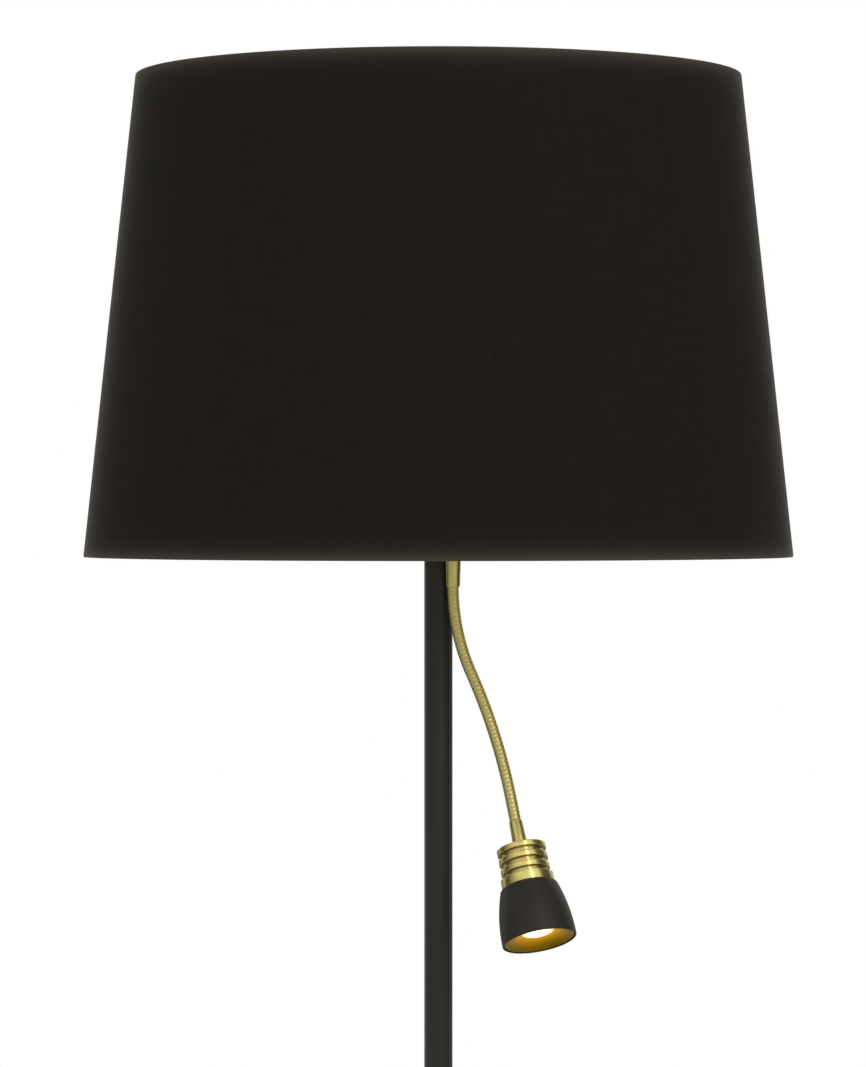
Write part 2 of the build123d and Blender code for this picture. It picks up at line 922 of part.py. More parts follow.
nodes = {
    "base_felt": base_felt(),
    "base_weight": base_weight(),
    "base_cover": base_cover(),
    "base_stud": stud(base_nut_bottom - stud_end, base_height + stud_engagement),
    "base_nut": hex_nut(nut_across_flats, stud_hole, base_nut_bottom, nut_height),
    "base_washer": ring(washer_diameter / 2, stud_hole, recess_top - washer_thickness, recess_top),
    "cord_gland": cord_gland(),
    "pole_inserts": pole_inserts(),
    "pole_studs": pole_studs(),
    "top_stud": stud(housing_floor - stud_engagement, top_stud_end),
    "housing_body": housing_body(),
    "housing_lid": housing_lid(),
    "housing_nut": hex_nut(nut_across_flats, stud_hole, housing_inside, nut_height),
    "led_driver": led_driver(),
    "switch_bodies": switch_bodies(),
    "shade_light_button": push_button(button_azimuths[0]),
    "reading_light_button": push_button(button_azimuths[1]),
    "lampholder_cap": lampholder_cap(),
    "lampholder_skirt": lampholder_skirt(),
    "lampholder_insert": lampholder_insert(),
    "lampholder_shell": lampholder_shell(),
    "lampholder_contact": lampholder_contact(),
    "shade_ring_nut": shade_ring_nut(),
    "bulb_cap": bulb_cap(),
    "bulb_globe": bulb_globe(),
    "shade_fabric": shade_fabric(),
    "shade_liner": shade_liner(),
    "shade_top_ring": wire_ring(top_ring),
    "shade_bottom_ring": wire_ring(bottom_ring),
    "shade_spider": shade_spider(),
    "upper_ferrule": upper_ferrule(),
    "upper_ferrule_nut": upper_ferrule_nut(),
    "reading_light_lead": reading_light_lead(),
    "lower_ferrule": lower_ferrule(),
    "head_collar": head_collar(),
    "head_heat_sink": head_heat_sink(),
    "head_cup": head_cup(),
    "head_cup_ring": head_cup_ring(),
    "led_board": led_board(),
    "led_emitter": led_emitter(),
    "head_lens": head_lens(),
    "lens_holder": lens_holder(),
    "reflector": reflector(),
}
for section_number, section_name in enumerate(pole_section_names):
    nodes[section_name] = pole_section(section_number)
for link_number in range(1, neck_link_count + 1):
    nodes[f"neck_link_{link_number:02d}"] = neck_link(link_number)

for name, shape in nodes.items():
    export_step(shape, f"parts/{name}.step")
print(len(nodes), "nodes written")
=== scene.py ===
import json
import math

import bmesh
import bpy
from mathutils import Matrix, Vector
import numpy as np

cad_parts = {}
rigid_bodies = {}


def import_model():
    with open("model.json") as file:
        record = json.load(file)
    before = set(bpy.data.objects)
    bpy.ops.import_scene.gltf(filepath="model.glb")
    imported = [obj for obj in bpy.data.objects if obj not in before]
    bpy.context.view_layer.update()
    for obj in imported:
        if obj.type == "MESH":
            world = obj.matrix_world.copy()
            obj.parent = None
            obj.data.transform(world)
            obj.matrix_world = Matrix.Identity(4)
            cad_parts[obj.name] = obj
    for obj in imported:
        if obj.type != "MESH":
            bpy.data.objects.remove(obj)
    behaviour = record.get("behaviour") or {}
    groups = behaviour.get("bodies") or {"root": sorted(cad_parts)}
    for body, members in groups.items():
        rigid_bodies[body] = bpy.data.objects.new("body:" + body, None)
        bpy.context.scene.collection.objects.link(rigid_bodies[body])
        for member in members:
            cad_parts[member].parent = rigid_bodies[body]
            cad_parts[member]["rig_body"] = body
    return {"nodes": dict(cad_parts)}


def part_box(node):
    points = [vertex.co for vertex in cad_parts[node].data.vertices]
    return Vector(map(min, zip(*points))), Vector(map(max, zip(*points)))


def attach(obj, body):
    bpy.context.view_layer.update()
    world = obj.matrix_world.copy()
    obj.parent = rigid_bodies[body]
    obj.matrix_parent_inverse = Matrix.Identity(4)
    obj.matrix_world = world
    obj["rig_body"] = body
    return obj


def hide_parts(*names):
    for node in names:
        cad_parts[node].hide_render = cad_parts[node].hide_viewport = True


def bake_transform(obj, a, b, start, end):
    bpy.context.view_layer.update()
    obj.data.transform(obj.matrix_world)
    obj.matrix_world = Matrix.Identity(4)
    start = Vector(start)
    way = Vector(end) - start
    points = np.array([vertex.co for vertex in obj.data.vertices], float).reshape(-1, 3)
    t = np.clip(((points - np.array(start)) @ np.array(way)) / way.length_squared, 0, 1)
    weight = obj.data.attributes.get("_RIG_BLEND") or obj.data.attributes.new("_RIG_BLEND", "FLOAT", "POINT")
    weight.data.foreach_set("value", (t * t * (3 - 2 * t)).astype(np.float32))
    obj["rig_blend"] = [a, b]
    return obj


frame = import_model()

# Floor lamp with a tapered fabric shade and a reading light on a brass gooseneck.
# Settings are millimetres and degrees; meshes are metres, in the frame of the CAD model.

scene = bpy.context.scene
scene.view_settings.view_transform = "Standard"
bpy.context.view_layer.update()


# Helpers for meshes

meshing = {"spinSteps": 96, "threadSteps": 48, "roundSteps": 5,
           "merge": 2e-7, "cut": 1e-7, "select": 1e-5}  # how near counts as touching, in metres


def boxOf(node):  # lowest and highest corner of a CAD node, in millimetres
    low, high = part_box(node)
    return low * 1000, high * 1000


def startOutline(outline, closed=True):  # (radius, height) corners; a third number rounds the corner
    bm = bmesh.new()
    rounded = {}
    verts = []
    for radius, height, *rounding in outline:
        verts.append(bm.verts.new((radius / 1000, 0, height / 1000)))
        if rounding:
            rounded.setdefault(rounding[0], []).append(verts[-1])
    for pair in zip(verts, verts[1:] + (verts[:1] if closed else [])):
        bm.edges.new(pair)
    for rounding, corners in rounded.items():
        bmesh.ops.bevel(bm, geom=corners, offset=rounding / 1000, offset_type="OFFSET", affect="VERTICES",
                        segments=meshing["roundSteps"], profile=0.5, material=-1, clamp_overlap=True)
    return bm


def tidyMesh(bm):
    bmesh.ops.remove_doubles(bm, verts=bm.verts, dist=meshing["merge"])
    bmesh.ops.recalc_face_normals(bm, faces=bm.faces)


def sharesOf(count):  # from 0 to 1 in even steps
    return [number / count for number in range(count + 1)]


def markVerts(bm, name, measure):  # a number at each corner, which materials read by its name
    layer = bm.verts.layers.float.new(name)
    for vert in bm.verts:
        vert[layer] = measure(vert.co)


def spinRound(bm, steps=meshing["spinSteps"]):
    bmesh.ops.spin(bm, geom=bm.verts[:] + bm.edges[:], axis=(0, 0, 1), cent=(0, 0, 0),
                   angle=2 * math.pi, steps=steps, use_merge=True)
    tidyMesh(bm)
    markVerts(bm, "along", lambda spot: spot.z)
    return bm


def turnOutline(outline, closed=True, steps=meshing["spinSteps"]):
    return spinRound(startOutline(outline, closed), steps)


def spinThread(bm, ridge, bottom, pitch, turns, steps):  # a ridge that climbs round the axis
    fresh = [bm.verts.new((radius / 1000, 0, (bottom + height) / 1000)) for radius, height in ridge]
    edges = [bm.edges.new(pair) for pair in zip(fresh, fresh[1:])]
    count = round(turns * steps)
    bmesh.ops.spin(bm, geom=fresh + edges, axis=(0, 0, 1), cent=(0, 0, 0),
                   dvec=(0, 0, pitch / steps / 1000), angle=2 * math.pi * count / steps, steps=count)


def linkMesh(bm, name, material):
    mesh = bpy.data.meshes.new(name)
    bm.to_mesh(mesh)
    bm.free()
    mesh.materials.append(material)
    piece = bpy.data.objects.new(name, mesh)
    scene.collection.objects.link(piece)
    return piece


def finishPiece(bm, name, material, nodes, place=None, sharp=38, bend=None):
    if place:
        bmesh.ops.transform(bm, matrix=place, verts=bm.verts)
    piece = linkMesh(bm, name, material)
    piece.data.shade_smooth()
    piece.data.set_sharp_from_angle(angle=math.radians(sharp))
    if bend:
        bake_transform(piece, *bend)
    else:
        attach(piece, frame["nodes"][nodes[0]]["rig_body"])
    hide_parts(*nodes)
    return piece


def turnPiece(name, material, node, outline, place=None, closed=True, steps=meshing["spinSteps"]):
    return finishPiece(turnOutline(outline, closed, steps), name, material, [node], place)


# Helpers for materials

def linearColour(hexCode):  # sRGB hex to the linear values that shaders take
    channels = [int(hexCode[start:start + 2], 16) / 255 for start in (1, 3, 5)]
    return [c / 12.92 if c <= 0.04045 else ((c + 0.055) / 1.055) ** 2.4 for c in channels] + [1.0]


def perMetre(size):  # texture scale of a pattern that repeats every so many millimetres
    return 1000 / size


def setInputs(tree, node, inputs):  # a node means its first output; an output is linked, and a value set
    for name, value in inputs.items():
        if isinstance(value, bpy.types.Node):
            value = value.outputs[0]
        if isinstance(value, bpy.types.NodeSocket):
            tree.links.new(value, node.inputs[name])
        else:
            node.inputs[name].default_value = value


def addNode(tree, kind, inputs=None, **settings):
    node = tree.nodes.new("ShaderNode" + kind)
    for name, value in settings.items():
        setattr(node, name, value)
    setInputs(tree, node, inputs or {})
    return node


def startMaterial(name, sockets):
    material = bpy.data.materials.new(name)
    material.use_nodes = True
    tree = material.node_tree
    shader = tree.nodes["Principled BSDF"]
    setInputs(tree, shader, sockets)
    return material, tree, shader


def cloudTone(tree, spots, finish):  # two close tones in soft clouds
    clouds = addNode(tree, "TexNoise", {"Vector": spots, "Scale": perMetre(finish["cloud"]), "Detail": 3.0})
    first, second = [linearColour(tone) for tone in finish["tones"]]
    return addNode(tree, "Mix", {0: clouds, 6: first, 7: second}, data_type="RGBA").outputs[2]


def roughRelief(tree, pattern, finish, strength):  # one pattern in both roughness and relief
    rough = addNode(tree, "MapRange", {
        "Value": pattern, "To Min": finish["roughness"][0], "To Max": finish["roughness"][1]})
    bump = addNode(tree, "Bump", {
        "Height": pattern, "Strength": strength, "Distance": finish["depth"] / 1000})
    return {"Roughness": rough, "Normal": bump}


def grainFinish(name, finish):  # clouds of tone, under a grain
    material, tree, shader = startMaterial(name, finish.get("sockets", {}))
    spots = addNode(tree, "TexCoord").outputs["Object"]
    grain = addNode(tree, "TexNoise", {
        "Vector": spots, "Scale": perMetre(finish["grain"]), "Detail": 2.0})
    setInputs(tree, shader, {"Base Color": cloudTone(tree, spots, finish),
                             **roughRelief(tree, grain, finish, strength=0.6)})
    return material


# Materials

# Polyester powder baked on steel: satin black, with a fine pebbling that breaks up reflections.
powderCoat = grainFinish("polyesterPowderCoat", {
    "sockets": {"Specular IOR Level": 0.38, "Sheen Weight": 0.10, "Sheen Roughness": 0.45},
    "tones": ("#1F1D17", "#23211B"), "cloud": 45, "roughness": (0.36, 0.52),
    "grain": 1.4, "depth": 0.09})  # the real pebbling is near 0.4 mm, drawn coarser to show

# Stove enamel sprayed on spun aluminium: the same black, smoother, with a soft broad sheen.
stoveEnamel = grainFinish("satinStoveEnamel", {
    "sockets": {"Specular IOR Level": 0.28},
    "tones": ("#221F17", "#26221A"), "cloud": 20, "roughness": (0.42, 0.52),
    "grain": 1.0, "depth": 0.03})  # the real grain is near 0.3 mm, drawn coarser to show

# Styrene sheet laminated behind the cloth: off-white and matt, a little uneven.
styreneSheet = grainFinish("laminatedStyrene", {
    "sockets": {"Specular IOR Level": 0.3},
    "tones": ("#DCD8CC", "#D2CDBF"), "cloud": 60, "roughness": (0.55, 0.70),
    "grain": 2.5, "depth": 0.02})

# Steel wire dipped in white vinyl: soft gloss and a slightly uneven skin.
dippedWire = grainFinish("vinylDippedWire", {
    "tones": ("#D8D5CC", "#CBC7BC"), "cloud": 25, "roughness": (0.28, 0.42),
    "grain": 3.0, "depth": 0.05})

# Phenolic resin moulded in a polished tool: black, with a semi-gloss skin and faint flow marks.
phenolic = grainFinish("mouldedPhenolic", {
    "tones": ("#1D1C1B", "#262422"), "cloud": 12, "roughness": (0.24, 0.36),
    "grain": 1.5, "depth": 0.006})

# ABS moulded in a spark-eroded tool: black and matt, with an even fine texture.
sparkAbs = grainFinish("sparkTexturedAbs", {
    "tones": ("#201F1E", "#262524"), "cloud": 8, "roughness": (0.45, 0.62),
    "grain": 0.8, "depth": 0.02})  # the real texture is near 0.2 mm

# Opal glass, blown and flashed white inside: milky body under a clear gloss.
opalGlass = grainFinish("blownOpalGlass", {
    "sockets": {"Coat Weight": 0.6, "Coat Roughness": 0.06, "Subsurface Weight": 0.35,
                "Subsurface Radius": (0.004, 0.004, 0.0035)},
    "tones": ("#EDEAE1", "#E6E2D7"), "cloud": 30, "roughness": (0.26, 0.34),
    "grain": 6.0, "depth": 0.01})

# Zinc plated on pressed and cut steel: pale grey metal with a cloudy, slightly blue bloom.
zincPlate = grainFinish("zincPlatedSteel", {
    "sockets": {"Metallic": 1.0},
    "tones": ("#B9BAB8", "#A3A7AB"), "cloud": 6, "roughness": (0.26, 0.44),
    "grain": 0.6, "depth": 0.008})

# Grey iron cast in sand: dark, rough and pitted.
castIron = grainFinish("sandCastIron", {
    "sockets": {"Metallic": 0.6},
    "tones": ("#5A5754", "#3E3B39"), "cloud": 10, "roughness": (0.55, 0.80),
    "grain": 1.2, "depth": 0.25})

# Needled wool felt: black, matt and hairy, with a soft uneven pile.
woolFelt = grainFinish("needledWoolFelt", {
    "sockets": {"Sheen Weight": 0.4, "Sheen Roughness": 0.6, "Specular IOR Level": 0.1},
    "tones": ("#1E1D1C", "#2C2A28"), "cloud": 5, "roughness": (0.85, 1.0),
    "grain": 0.7, "depth": 0.3})

# Glazed steatite porcelain: cream-white under a clear fired glaze.
porcelain = grainFinish("glazedPorcelain", {
    "sockets": {"Coat Weight": 0.5, "Coat Roughness": 0.08},
    "tones": ("#E9E4D6", "#DED8C8"), "cloud": 8, "roughness": (0.30, 0.42),
    "grain": 2.0, "depth": 0.01})

# Brass strip pressed to shape, unlacquered: warm yellow with dull clouds from handling.
pressedBrass = grainFinish("pressedBrassStrip", {
    "sockets": {"Metallic": 1.0},
    "tones": ("#D9C277", "#BFA55C"), "cloud": 5, "roughness": (0.26, 0.42),
    "grain": 0.8, "depth": 0.006})

# Aluminium, turned or pressed and left bare: light grey metal with a soft grain.
bareAluminium = grainFinish("bareTurnedAluminium", {
    "sockets": {"Metallic": 1.0},
    "tones": ("#C4C5C5", "#AEB0B1"), "cloud": 6, "roughness": (0.28, 0.46),
    "grain": 0.7, "depth": 0.008})

# Glass-fibre board under white solder mask: even, slightly glossy white.
solderMask = grainFinish("whiteSolderMask", {
    "tones": ("#E4E4E0", "#DADAD5"), "cloud": 3, "roughness": (0.30, 0.42),
    "grain": 0.6, "depth": 0.004})

# Polycarbonate case of the driver: white, moulded with a light texture.
whiteCase = grainFinish("mouldedPolycarbonate", {
    "tones": ("#D6D6D1", "#CDCDC7"), "cloud": 6, "roughness": (0.42, 0.55),
    "grain": 0.8, "depth": 0.012})


def turnedMetal(name, finish):  # fine rings round the axis, which stretch highlights along it
    material, tree, shader = startMaterial(name, {"Metallic": 1.0})
    tone = cloudTone(tree, addNode(tree, "TexCoord").outputs["Object"], finish)
    if "landShadeColour" in finish:  # painted shade in the corner under each land of the grooves
        landShade = addNode(tree, "Attribute", attribute_name="landShade")
        tone = addNode(tree, "Mix", {
            0: landShade.outputs["Fac"], 6: tone, 7: linearColour(finish["landShadeColour"])},
            data_type="RGBA").outputs[2]
    along = addNode(tree, "Attribute", attribute_name="along")
    rings = addNode(tree, "TexNoise", {
        "W": along.outputs["Fac"], "Scale": perMetre(finish["ring"]), "Detail": 3.0}, noise_dimensions="1D")
    setInputs(tree, shader, {"Base Color": tone, **roughRelief(tree, rings, finish, strength=0.5)})
    return material


# Brass turned on a lathe and lacquered satin: pale yellow, with rings from the tool.
turnedBrass = turnedMetal("lacqueredTurnedBrass", {
    # the darker brown is painted shade in the corner under each land
    "tones": ("#E4D487", "#DAC979"), "landShadeColour": "#957F3F", "cloud": 9,
    "roughness": (0.16, 0.30), "ring": 0.7, "depth": 0.006})  # real rings are near 0.1 mm, drawn to show

# Brass strip wound into a hose: the same brass, polished by the rollers on the crest of each turn.
woundBrass = turnedMetal("rolledBrassStrip", {
    "tones": ("#E6D78F", "#DBCC80"), "cloud": 7, "roughness": (0.34, 0.39),
    "ring": 1.4, "depth": 0.003})

# Spun aluminium anodised gold: a deep amber mirror, softened by spinning marks, lit up beside the lens.
goldAnodised = turnedMetal("goldAnodisedAluminium", {
    "tones": ("#AC840C", "#A07908"), "cloud": 8, "roughness": (0.30, 0.44),
    "ring": 0.8, "depth": 0.006})


def addSpill(material, spill):  # the lens's own light on the metal beside it
    tree = material.node_tree
    shader = tree.nodes["Principled BSDF"]
    near = addNode(tree, "Attribute", attribute_name="spill")
    glow = addNode(tree, "VectorMath", {
        0: linearColour(spill["colour"])[:3], "Scale": near.outputs["Fac"]}, operation="SCALE")
    setInputs(tree, shader, {"Emission Color": glow, "Emission Strength": spill["strength"]})


addSpill(goldAnodised, {"colour": "#FFBA08", "strength": 0.42})


def wovenCloth(name, cloth):  # over and under threads with slubs, a pale nap, and a painted glow along the folds
    material, tree, shader = startMaterial(name, {
        "Roughness": 0.9, "Specular IOR Level": 0.05, "Sheen Weight": cloth["sheen"],
        "Sheen Roughness": cloth["sheenRoughness"], "Sheen Tint": linearColour(cloth["nap"])})
    flat = addNode(tree, "UVMap", uv_map="cloth")
    threads = addNode(tree, "VectorMath", {0: flat, "Scale": perMetre(cloth["thread"])}, operation="SCALE")
    parts = addNode(tree, "SeparateXYZ", {0: threads})
    crowns = []
    slubs = []
    for axis, stretch in (("X", (1, cloth["slub"], 1)), ("Y", (cloth["slub"], 1, 1))):
        angle = addNode(tree, "Math", {0: parts.outputs[axis], 1: math.pi}, operation="MULTIPLY")
        wave = addNode(tree, "Math", {0: angle}, operation="SINE")
        crowns.append(addNode(tree, "Math", {0: wave}, operation="ABSOLUTE"))
        drawn = addNode(tree, "VectorMath", {0: threads, 1: stretch}, operation="MULTIPLY")
        slubs.append(addNode(tree, "TexNoise", {"Vector": drawn, "Scale": 1.0, "Detail": 2.0}))
    over = addNode(tree, "TexChecker", {"Vector": threads, "Scale": 1.0})
    height, slub = [addNode(tree, "Mix", {0: over.outputs[1], 2: pair[0], 3: pair[1]}, data_type="FLOAT")
                    for pair in (crowns, slubs)]
    relief = addNode(tree, "Math", {0: height, 1: slub}, operation="MULTIPLY")
    dyed = addNode(tree, "Mix", {
        0: relief, 6: linearColour(cloth["hollow"]), 7: linearColour(cloth["crown"])},
        data_type="RGBA")
    # painted glow: the cloth is paled towards each fold, standing in for light at its edges
    foldGlow = addNode(tree, "Attribute", attribute_name="foldGlow")
    tone = addNode(tree, "Mix", {
        0: foldGlow.outputs["Fac"], 6: dyed.outputs[2], 7: linearColour(cloth["glowColour"])}, data_type="RGBA")
    bump = addNode(tree, "Bump", {
        "Height": relief, "Strength": 0.5, "Distance": cloth["depth"] / 1000})
    setInputs(tree, shader, {"Base Color": tone.outputs[2], "Normal": bump})
    return material


# Cotton dyed black in plain weave: near black face on, paler at a glancing angle, with a painted glow along
# the folds at top and bottom.
blackCotton = wovenCloth("blackCottonPlainWeave", {
    # the paler third colour is the painted glow along the folds
    "hollow": "#151310", "crown": "#25211C", "glowColour": "#443E37",
    "nap": "#FFF3E4", "sheen": 0.19, "sheenRoughness": 0.21,
    "thread": 1.5, "slub": 0.05, "depth": 0.12})  # real threads are near 0.4 mm, drawn coarser to show


def litLens(name, lens):  # glaring in the middle, amber towards its edge
    material, tree, shader = startMaterial(name, {
        "Base Color": linearColour(lens["body"]), "Roughness": 0.2, "Emission Strength": lens["strength"]})
    across = addNode(tree, "Attribute", attribute_name="across")
    inward = addNode(tree, "MapRange", {
        "Value": across.outputs["Fac"], "From Min": lens["edge"] / 1000, "From Max": lens["white"] / 1000})
    glare = addNode(tree, "Math", {0: inward, 1: lens["falloff"]}, operation="POWER")
    level = addNode(tree, "Math", {0: glare, 1: lens["rimLevel"]}, operation="ADD")
    tint = addNode(tree, "Mix", {
        0: inward, 6: linearColour(lens["rim"]), 7: linearColour(lens["middle"])}, data_type="RGBA")
    glow = addNode(tree, "VectorMath", {0: tint.outputs[2], "Scale": level}, operation="SCALE")
    setInputs(tree, shader, {"Emission Color": glow})
    return material


# Acrylic moulded clear over the lit source: a white glare that turns amber where it thins out.
lensGlow = litLens("litAcrylicLens", {
    "body": "#F4EEDC", "middle": "#FFF3D2", "rim": "#FFB838", "white": 4.0, "edge": 10.0, "falloff": 1.8,
    "rimLevel": 0.07, "strength": 8.0})

print("materials made:", len(bpy.data.materials))


# Camera: a long lens level with the shade's lower half

cameraSettings = {"lens": 153.48, "sensor": 36.0, "place": (-3.43, -2890.0, 1229.0), "pitchDown": 0.3816,
                  "seesTo": 60000.0}


def addCamera(settings):
    data = bpy.data.cameras.new("photoCamera")
    data.lens = settings["lens"]
    data.sensor_width = settings["sensor"]
    data.clip_end = settings["seesTo"] / 1000
    camera = bpy.data.objects.new("photoCamera", data)
    camera.location = Vector(settings["place"]) / 1000
    camera.rotation_euler = (math.radians(90 - settings["pitchDown"]), 0, 0)
    scene.collection.objects.link(camera)
    scene.camera = camera


addCamera(cameraSettings)
print("camera placed")


# Shade: cloth folded over two wire rings, a stiff lining between them, and a wire spider

shadeLow, shadeHigh = boxOf("shade_fabric")
shade = {
    "bottomDiameter": 450.0, "topDiameter": 384.0, "bottom": shadeLow.z, "top": shadeHigh.z,
    "cloth": 0.6, "roll": 3.0, "hemTail": 4.0, "wire": 4.0, "liner": 0.5, "linerEnd": 2.3,
    "crease": 0.6, "creaseLeast": 0.1, "creaseRound": 0.29,  # the cloth's bend over the edge
    "steps": 192, "rows": 14, "rollSteps": 8, "lapWidth": 9.0, "lapStep": 0.35, "lapRamp": 0.25,
    # reach of the painted glow from each fold, and the rows of the wall near the folds
    "foldGlow": 4.0, "foldRows": (1.0, 2.2, 3.6, 5.5, 8.0, 12.0, 20.0),
}
wallRun = (shade["bottomDiameter"] - shade["topDiameter"]) / 2
wallRise = shade["top"] - shade["bottom"]
wallSlant = math.hypot(wallRun, wallRise)
wallOut = (wallRise / wallSlant, wallRun / wallSlant)
wallUp = (-wallRun / wallSlant, wallRise / wallSlant)


def wallRadius(height, depth):  # radius of the wall at a height, at a depth behind its outer face
    outerFace = shade["bottomDiameter"] / 2 - wallRun * (height - shade["bottom"]) / wallRise
    return outerFace - depth / wallOut[0]


def ringCentre(height):  # radius and height of a wire ring that lies behind the wall
    return (wallRadius(height, shade["roll"]), height)


bottomRing = ringCentre(shade["bottom"] + shade["roll"])
topRing = ringCentre(shade["top"] - shade["roll"])


def wallPoint(centre, outward, upward):  # measured across and along the wall from a wire ring
    return (centre[0] + outward * wallOut[0] + upward * wallUp[0],
            centre[1] + outward * wallOut[1] + upward * wallUp[1])


def foldPoints(centre, reach, side):  # the cloth's way from the wall, over the edge and round a wire ring
    edge = centre[1] + side * reach
    corner = Vector((wallRadius(edge, shade["roll"] - reach), edge))
    bend = max(reach - shade["roll"] + shade["crease"], shade["creaseLeast"])
    back = Vector(wallUp) * -side * bend
    inward = Vector((-bend, 0))
    crease = [tuple(corner + step) for step in (back, (back + inward) * shade["creaseRound"], inward)]
    first = side * math.pi / 2
    last = side * math.pi + math.atan2(wallOut[1], wallOut[0])
    turns = [first + (last - first) * share for share in sharesOf(shade["rollSteps"])]
    roll = [(centre[0] + reach * math.cos(turn), centre[1] + reach * math.sin(turn)) for turn in turns]
    return crease + roll + [wallPoint(centre, -reach, -side * shade["hemTail"])]


def clothOutline():
    outer = shade["roll"]
    inner = shade["roll"] - shade["cloth"]
    lowFold = foldPoints(bottomRing, outer, -1)
    highFold = foldPoints(topRing, outer, 1)
    low, high = Vector(lowFold[0]), Vector(highFold[0])
    run = (high - low).length
    nearFold = [row / run for row in shade["foldRows"]]
    between = sharesOf(shade["rows"])[2:-2]
    shares = nearFold + between + [1 - share for share in reversed(nearFold)]
    wall = [tuple(low.lerp(high, share)) for share in shares]
    return (lowFold[::-1] + wall + highFold + foldPoints(topRing, inner, 1)[::-1]
            + foldPoints(bottomRing, inner, -1))


def mapCloth(bm, girth):  # lays the cloth out flat: round the shade, and along its outline
    cloth = bm.loops.layers.uv.new("cloth")
    radius = (shade["bottomDiameter"] + shade["topDiameter"]) / 4000
    for face in bm.faces:
        middle = face.calc_center_median()
        facing = math.atan2(middle.x, -middle.y)  # 0 at the front, a half turn at the lap behind
        for loop in face.loops:
            turn = math.atan2(loop.vert.co.x, -loop.vert.co.y)
            turn += 2 * math.pi * round((facing - turn) / (2 * math.pi))
            loop[cloth].uv = (turn * radius, loop.vert[girth])


def paintedFoldGlow(spot):  # painted glow: strongest on the folds, and gone a little way from them
    height = spot.z * 1000
    fromFold = min(height - shade["bottom"], shade["top"] - height)
    return math.exp(-max(fromFold, 0) / shade["foldGlow"])


def raiseLap(bm):  # the cloth's glued overlap, down the back of the shade
    edge = shade["lapWidth"] / 2000
    ramp = shade["lapRamp"] / 1000
    for side in (-edge - ramp, -edge, edge, edge + ramp):
        back = [face for face in bm.faces if face.calc_center_median().y > 0]
        parts = {part for face in back for part in (*face.verts, *face.edges, face)}
        bmesh.ops.bisect_plane(bm, geom=list(parts), dist=meshing["cut"], plane_co=(side, 0, 0),
                               plane_no=(1, 0, 0))
    inside = shade["bottomDiameter"] / 2000 - shade["roll"] / 1000
    for vert in bm.verts:
        onLap = vert.co.y > 0 and abs(vert.co.x) < edge + ramp / 2
        slope = (vert.co.z - bottomRing[1] / 1000) * wallRun / wallRise
        if onLap and vert.co.y > inside - slope:
            vert.co.y += shade["lapStep"] / 1000


def makeShadeCloth():
    bm = startOutline(clothOutline())
    girth = bm.verts.layers.float.new("girth")
    bm.verts.ensure_lookup_table()
    for number in range(1, len(bm.verts)):
        here, before = bm.verts[number], bm.verts[number - 1]
        here[girth] = before[girth] + (here.co - before.co).length
    spinRound(bm, shade["steps"])
    # painted glow along the folds
    markVerts(bm, "foldGlow", paintedFoldGlow)
    girth = bm.verts.layers.float["girth"]
    raiseLap(bm)
    mapCloth(bm, girth)
    return finishPiece(bm, "shadeCloth", blackCotton, ["shade_fabric"])


def makeLining():
    outer = shade["wire"] / 2
    inner = outer - shade["liner"]
    end = shade["linerEnd"]
    outline = [wallPoint(bottomRing, outer, end), wallPoint(topRing, outer, -end),
               wallPoint(topRing, inner, -end), wallPoint(bottomRing, inner, end)]
    turnPiece("shadeLining", styreneSheet, "shade_liner", outline, steps=shade["steps"])


spider = {"hubInner": 19.8, "hubWidth": 10.0, "hubThickness": 2.5, "wire": 4.0, "spokes": 3, "first": 90.0,
          "weld": 4.5, "weldShape": (1.2, 1.0, 0.55), "weldDetail": 3, "wireSides": 20, "edge": 0.5}


def makeSpider():
    hubTop = boxOf("shade_ring_nut")[0].z
    hubLow = hubTop - spider["hubThickness"]
    hubOuter = spider["hubInner"] + spider["hubWidth"]
    edge = spider["edge"]
    bm = turnOutline([(spider["hubInner"], hubLow, edge), (hubOuter, hubLow, edge),
                      (hubOuter, hubTop, edge), (spider["hubInner"], hubTop, edge)])
    start = Vector((hubOuter - spider["wire"] / 2, 0, (hubLow + hubTop) / 2)) / 1000
    end = Vector((bottomRing[0] - spider["wire"] / 2, 0, bottomRing[1])) / 1000
    run = end - start
    lay = run.to_track_quat("Z", "Y").to_matrix().to_4x4()
    thick = spider["wire"] / 2000
    for number in range(spider["spokes"]):
        turn = Matrix.Rotation(math.radians(spider["first"] + 360 * number / spider["spokes"]), 4, "Z")
        bmesh.ops.create_cone(bm, cap_ends=True, segments=spider["wireSides"], radius1=thick, radius2=thick,
                              depth=run.length, matrix=turn @ Matrix.Translation((start + end) / 2) @ lay)
        for spot in (start, end):
            bead = turn @ Matrix.Translation(spot) @ Matrix.Diagonal((*spider["weldShape"], 1))
            bmesh.ops.create_icosphere(bm, subdivisions=spider["weldDetail"], radius=spider["weld"] / 2000,
                                       matrix=bead)
    finishPiece(bm, "shadeSpider", dippedWire, ["shade_spider"])


shadeCloth = makeShadeCloth()
makeLining()
makeSpider()
print("shade made")


# Pole: three lengths of steel tube, with a hairline at each seam

pole = {"sections": ("pole_lower", "pole_middle", "pole_upper"), "wall": 1.0, "seamEdge": 0.35, "steps": 64}


def makePole(node):
    low, high = boxOf(node)
    outer = high.x
    inner = outer - pole["wall"]
    outline = [(inner, low.z), (outer, low.z, pole["seamEdge"]), (outer, high.z, pole["seamEdge"]),
               (inner, high.z)]
    turnPiece(node.title().replace("_", "") + "Tube", powderCoat, node, outline, steps=pole["steps"])


for sectionName in pole["sections"]:
    makePole(sectionName)
print("pole made")


# Base: pressed steel cover over the weight, on a felt pad, with a bush for the cord behind

base = {"wall": 1.2, "edge": 4.0, "rim": 0.4, "hole": 5.1, "feltHole": 20.0, "feltEdge": 0.7,
        "steps": 192, "bushBore": 3.5, "bushNeck": 4.5, "bushFlange": 5.5, "flangeThickness": 1.5,
        "bushMouth": 0.6, "bushBack": 0.4, "bushBackEdge": 0.3, "bushSteps": 64}


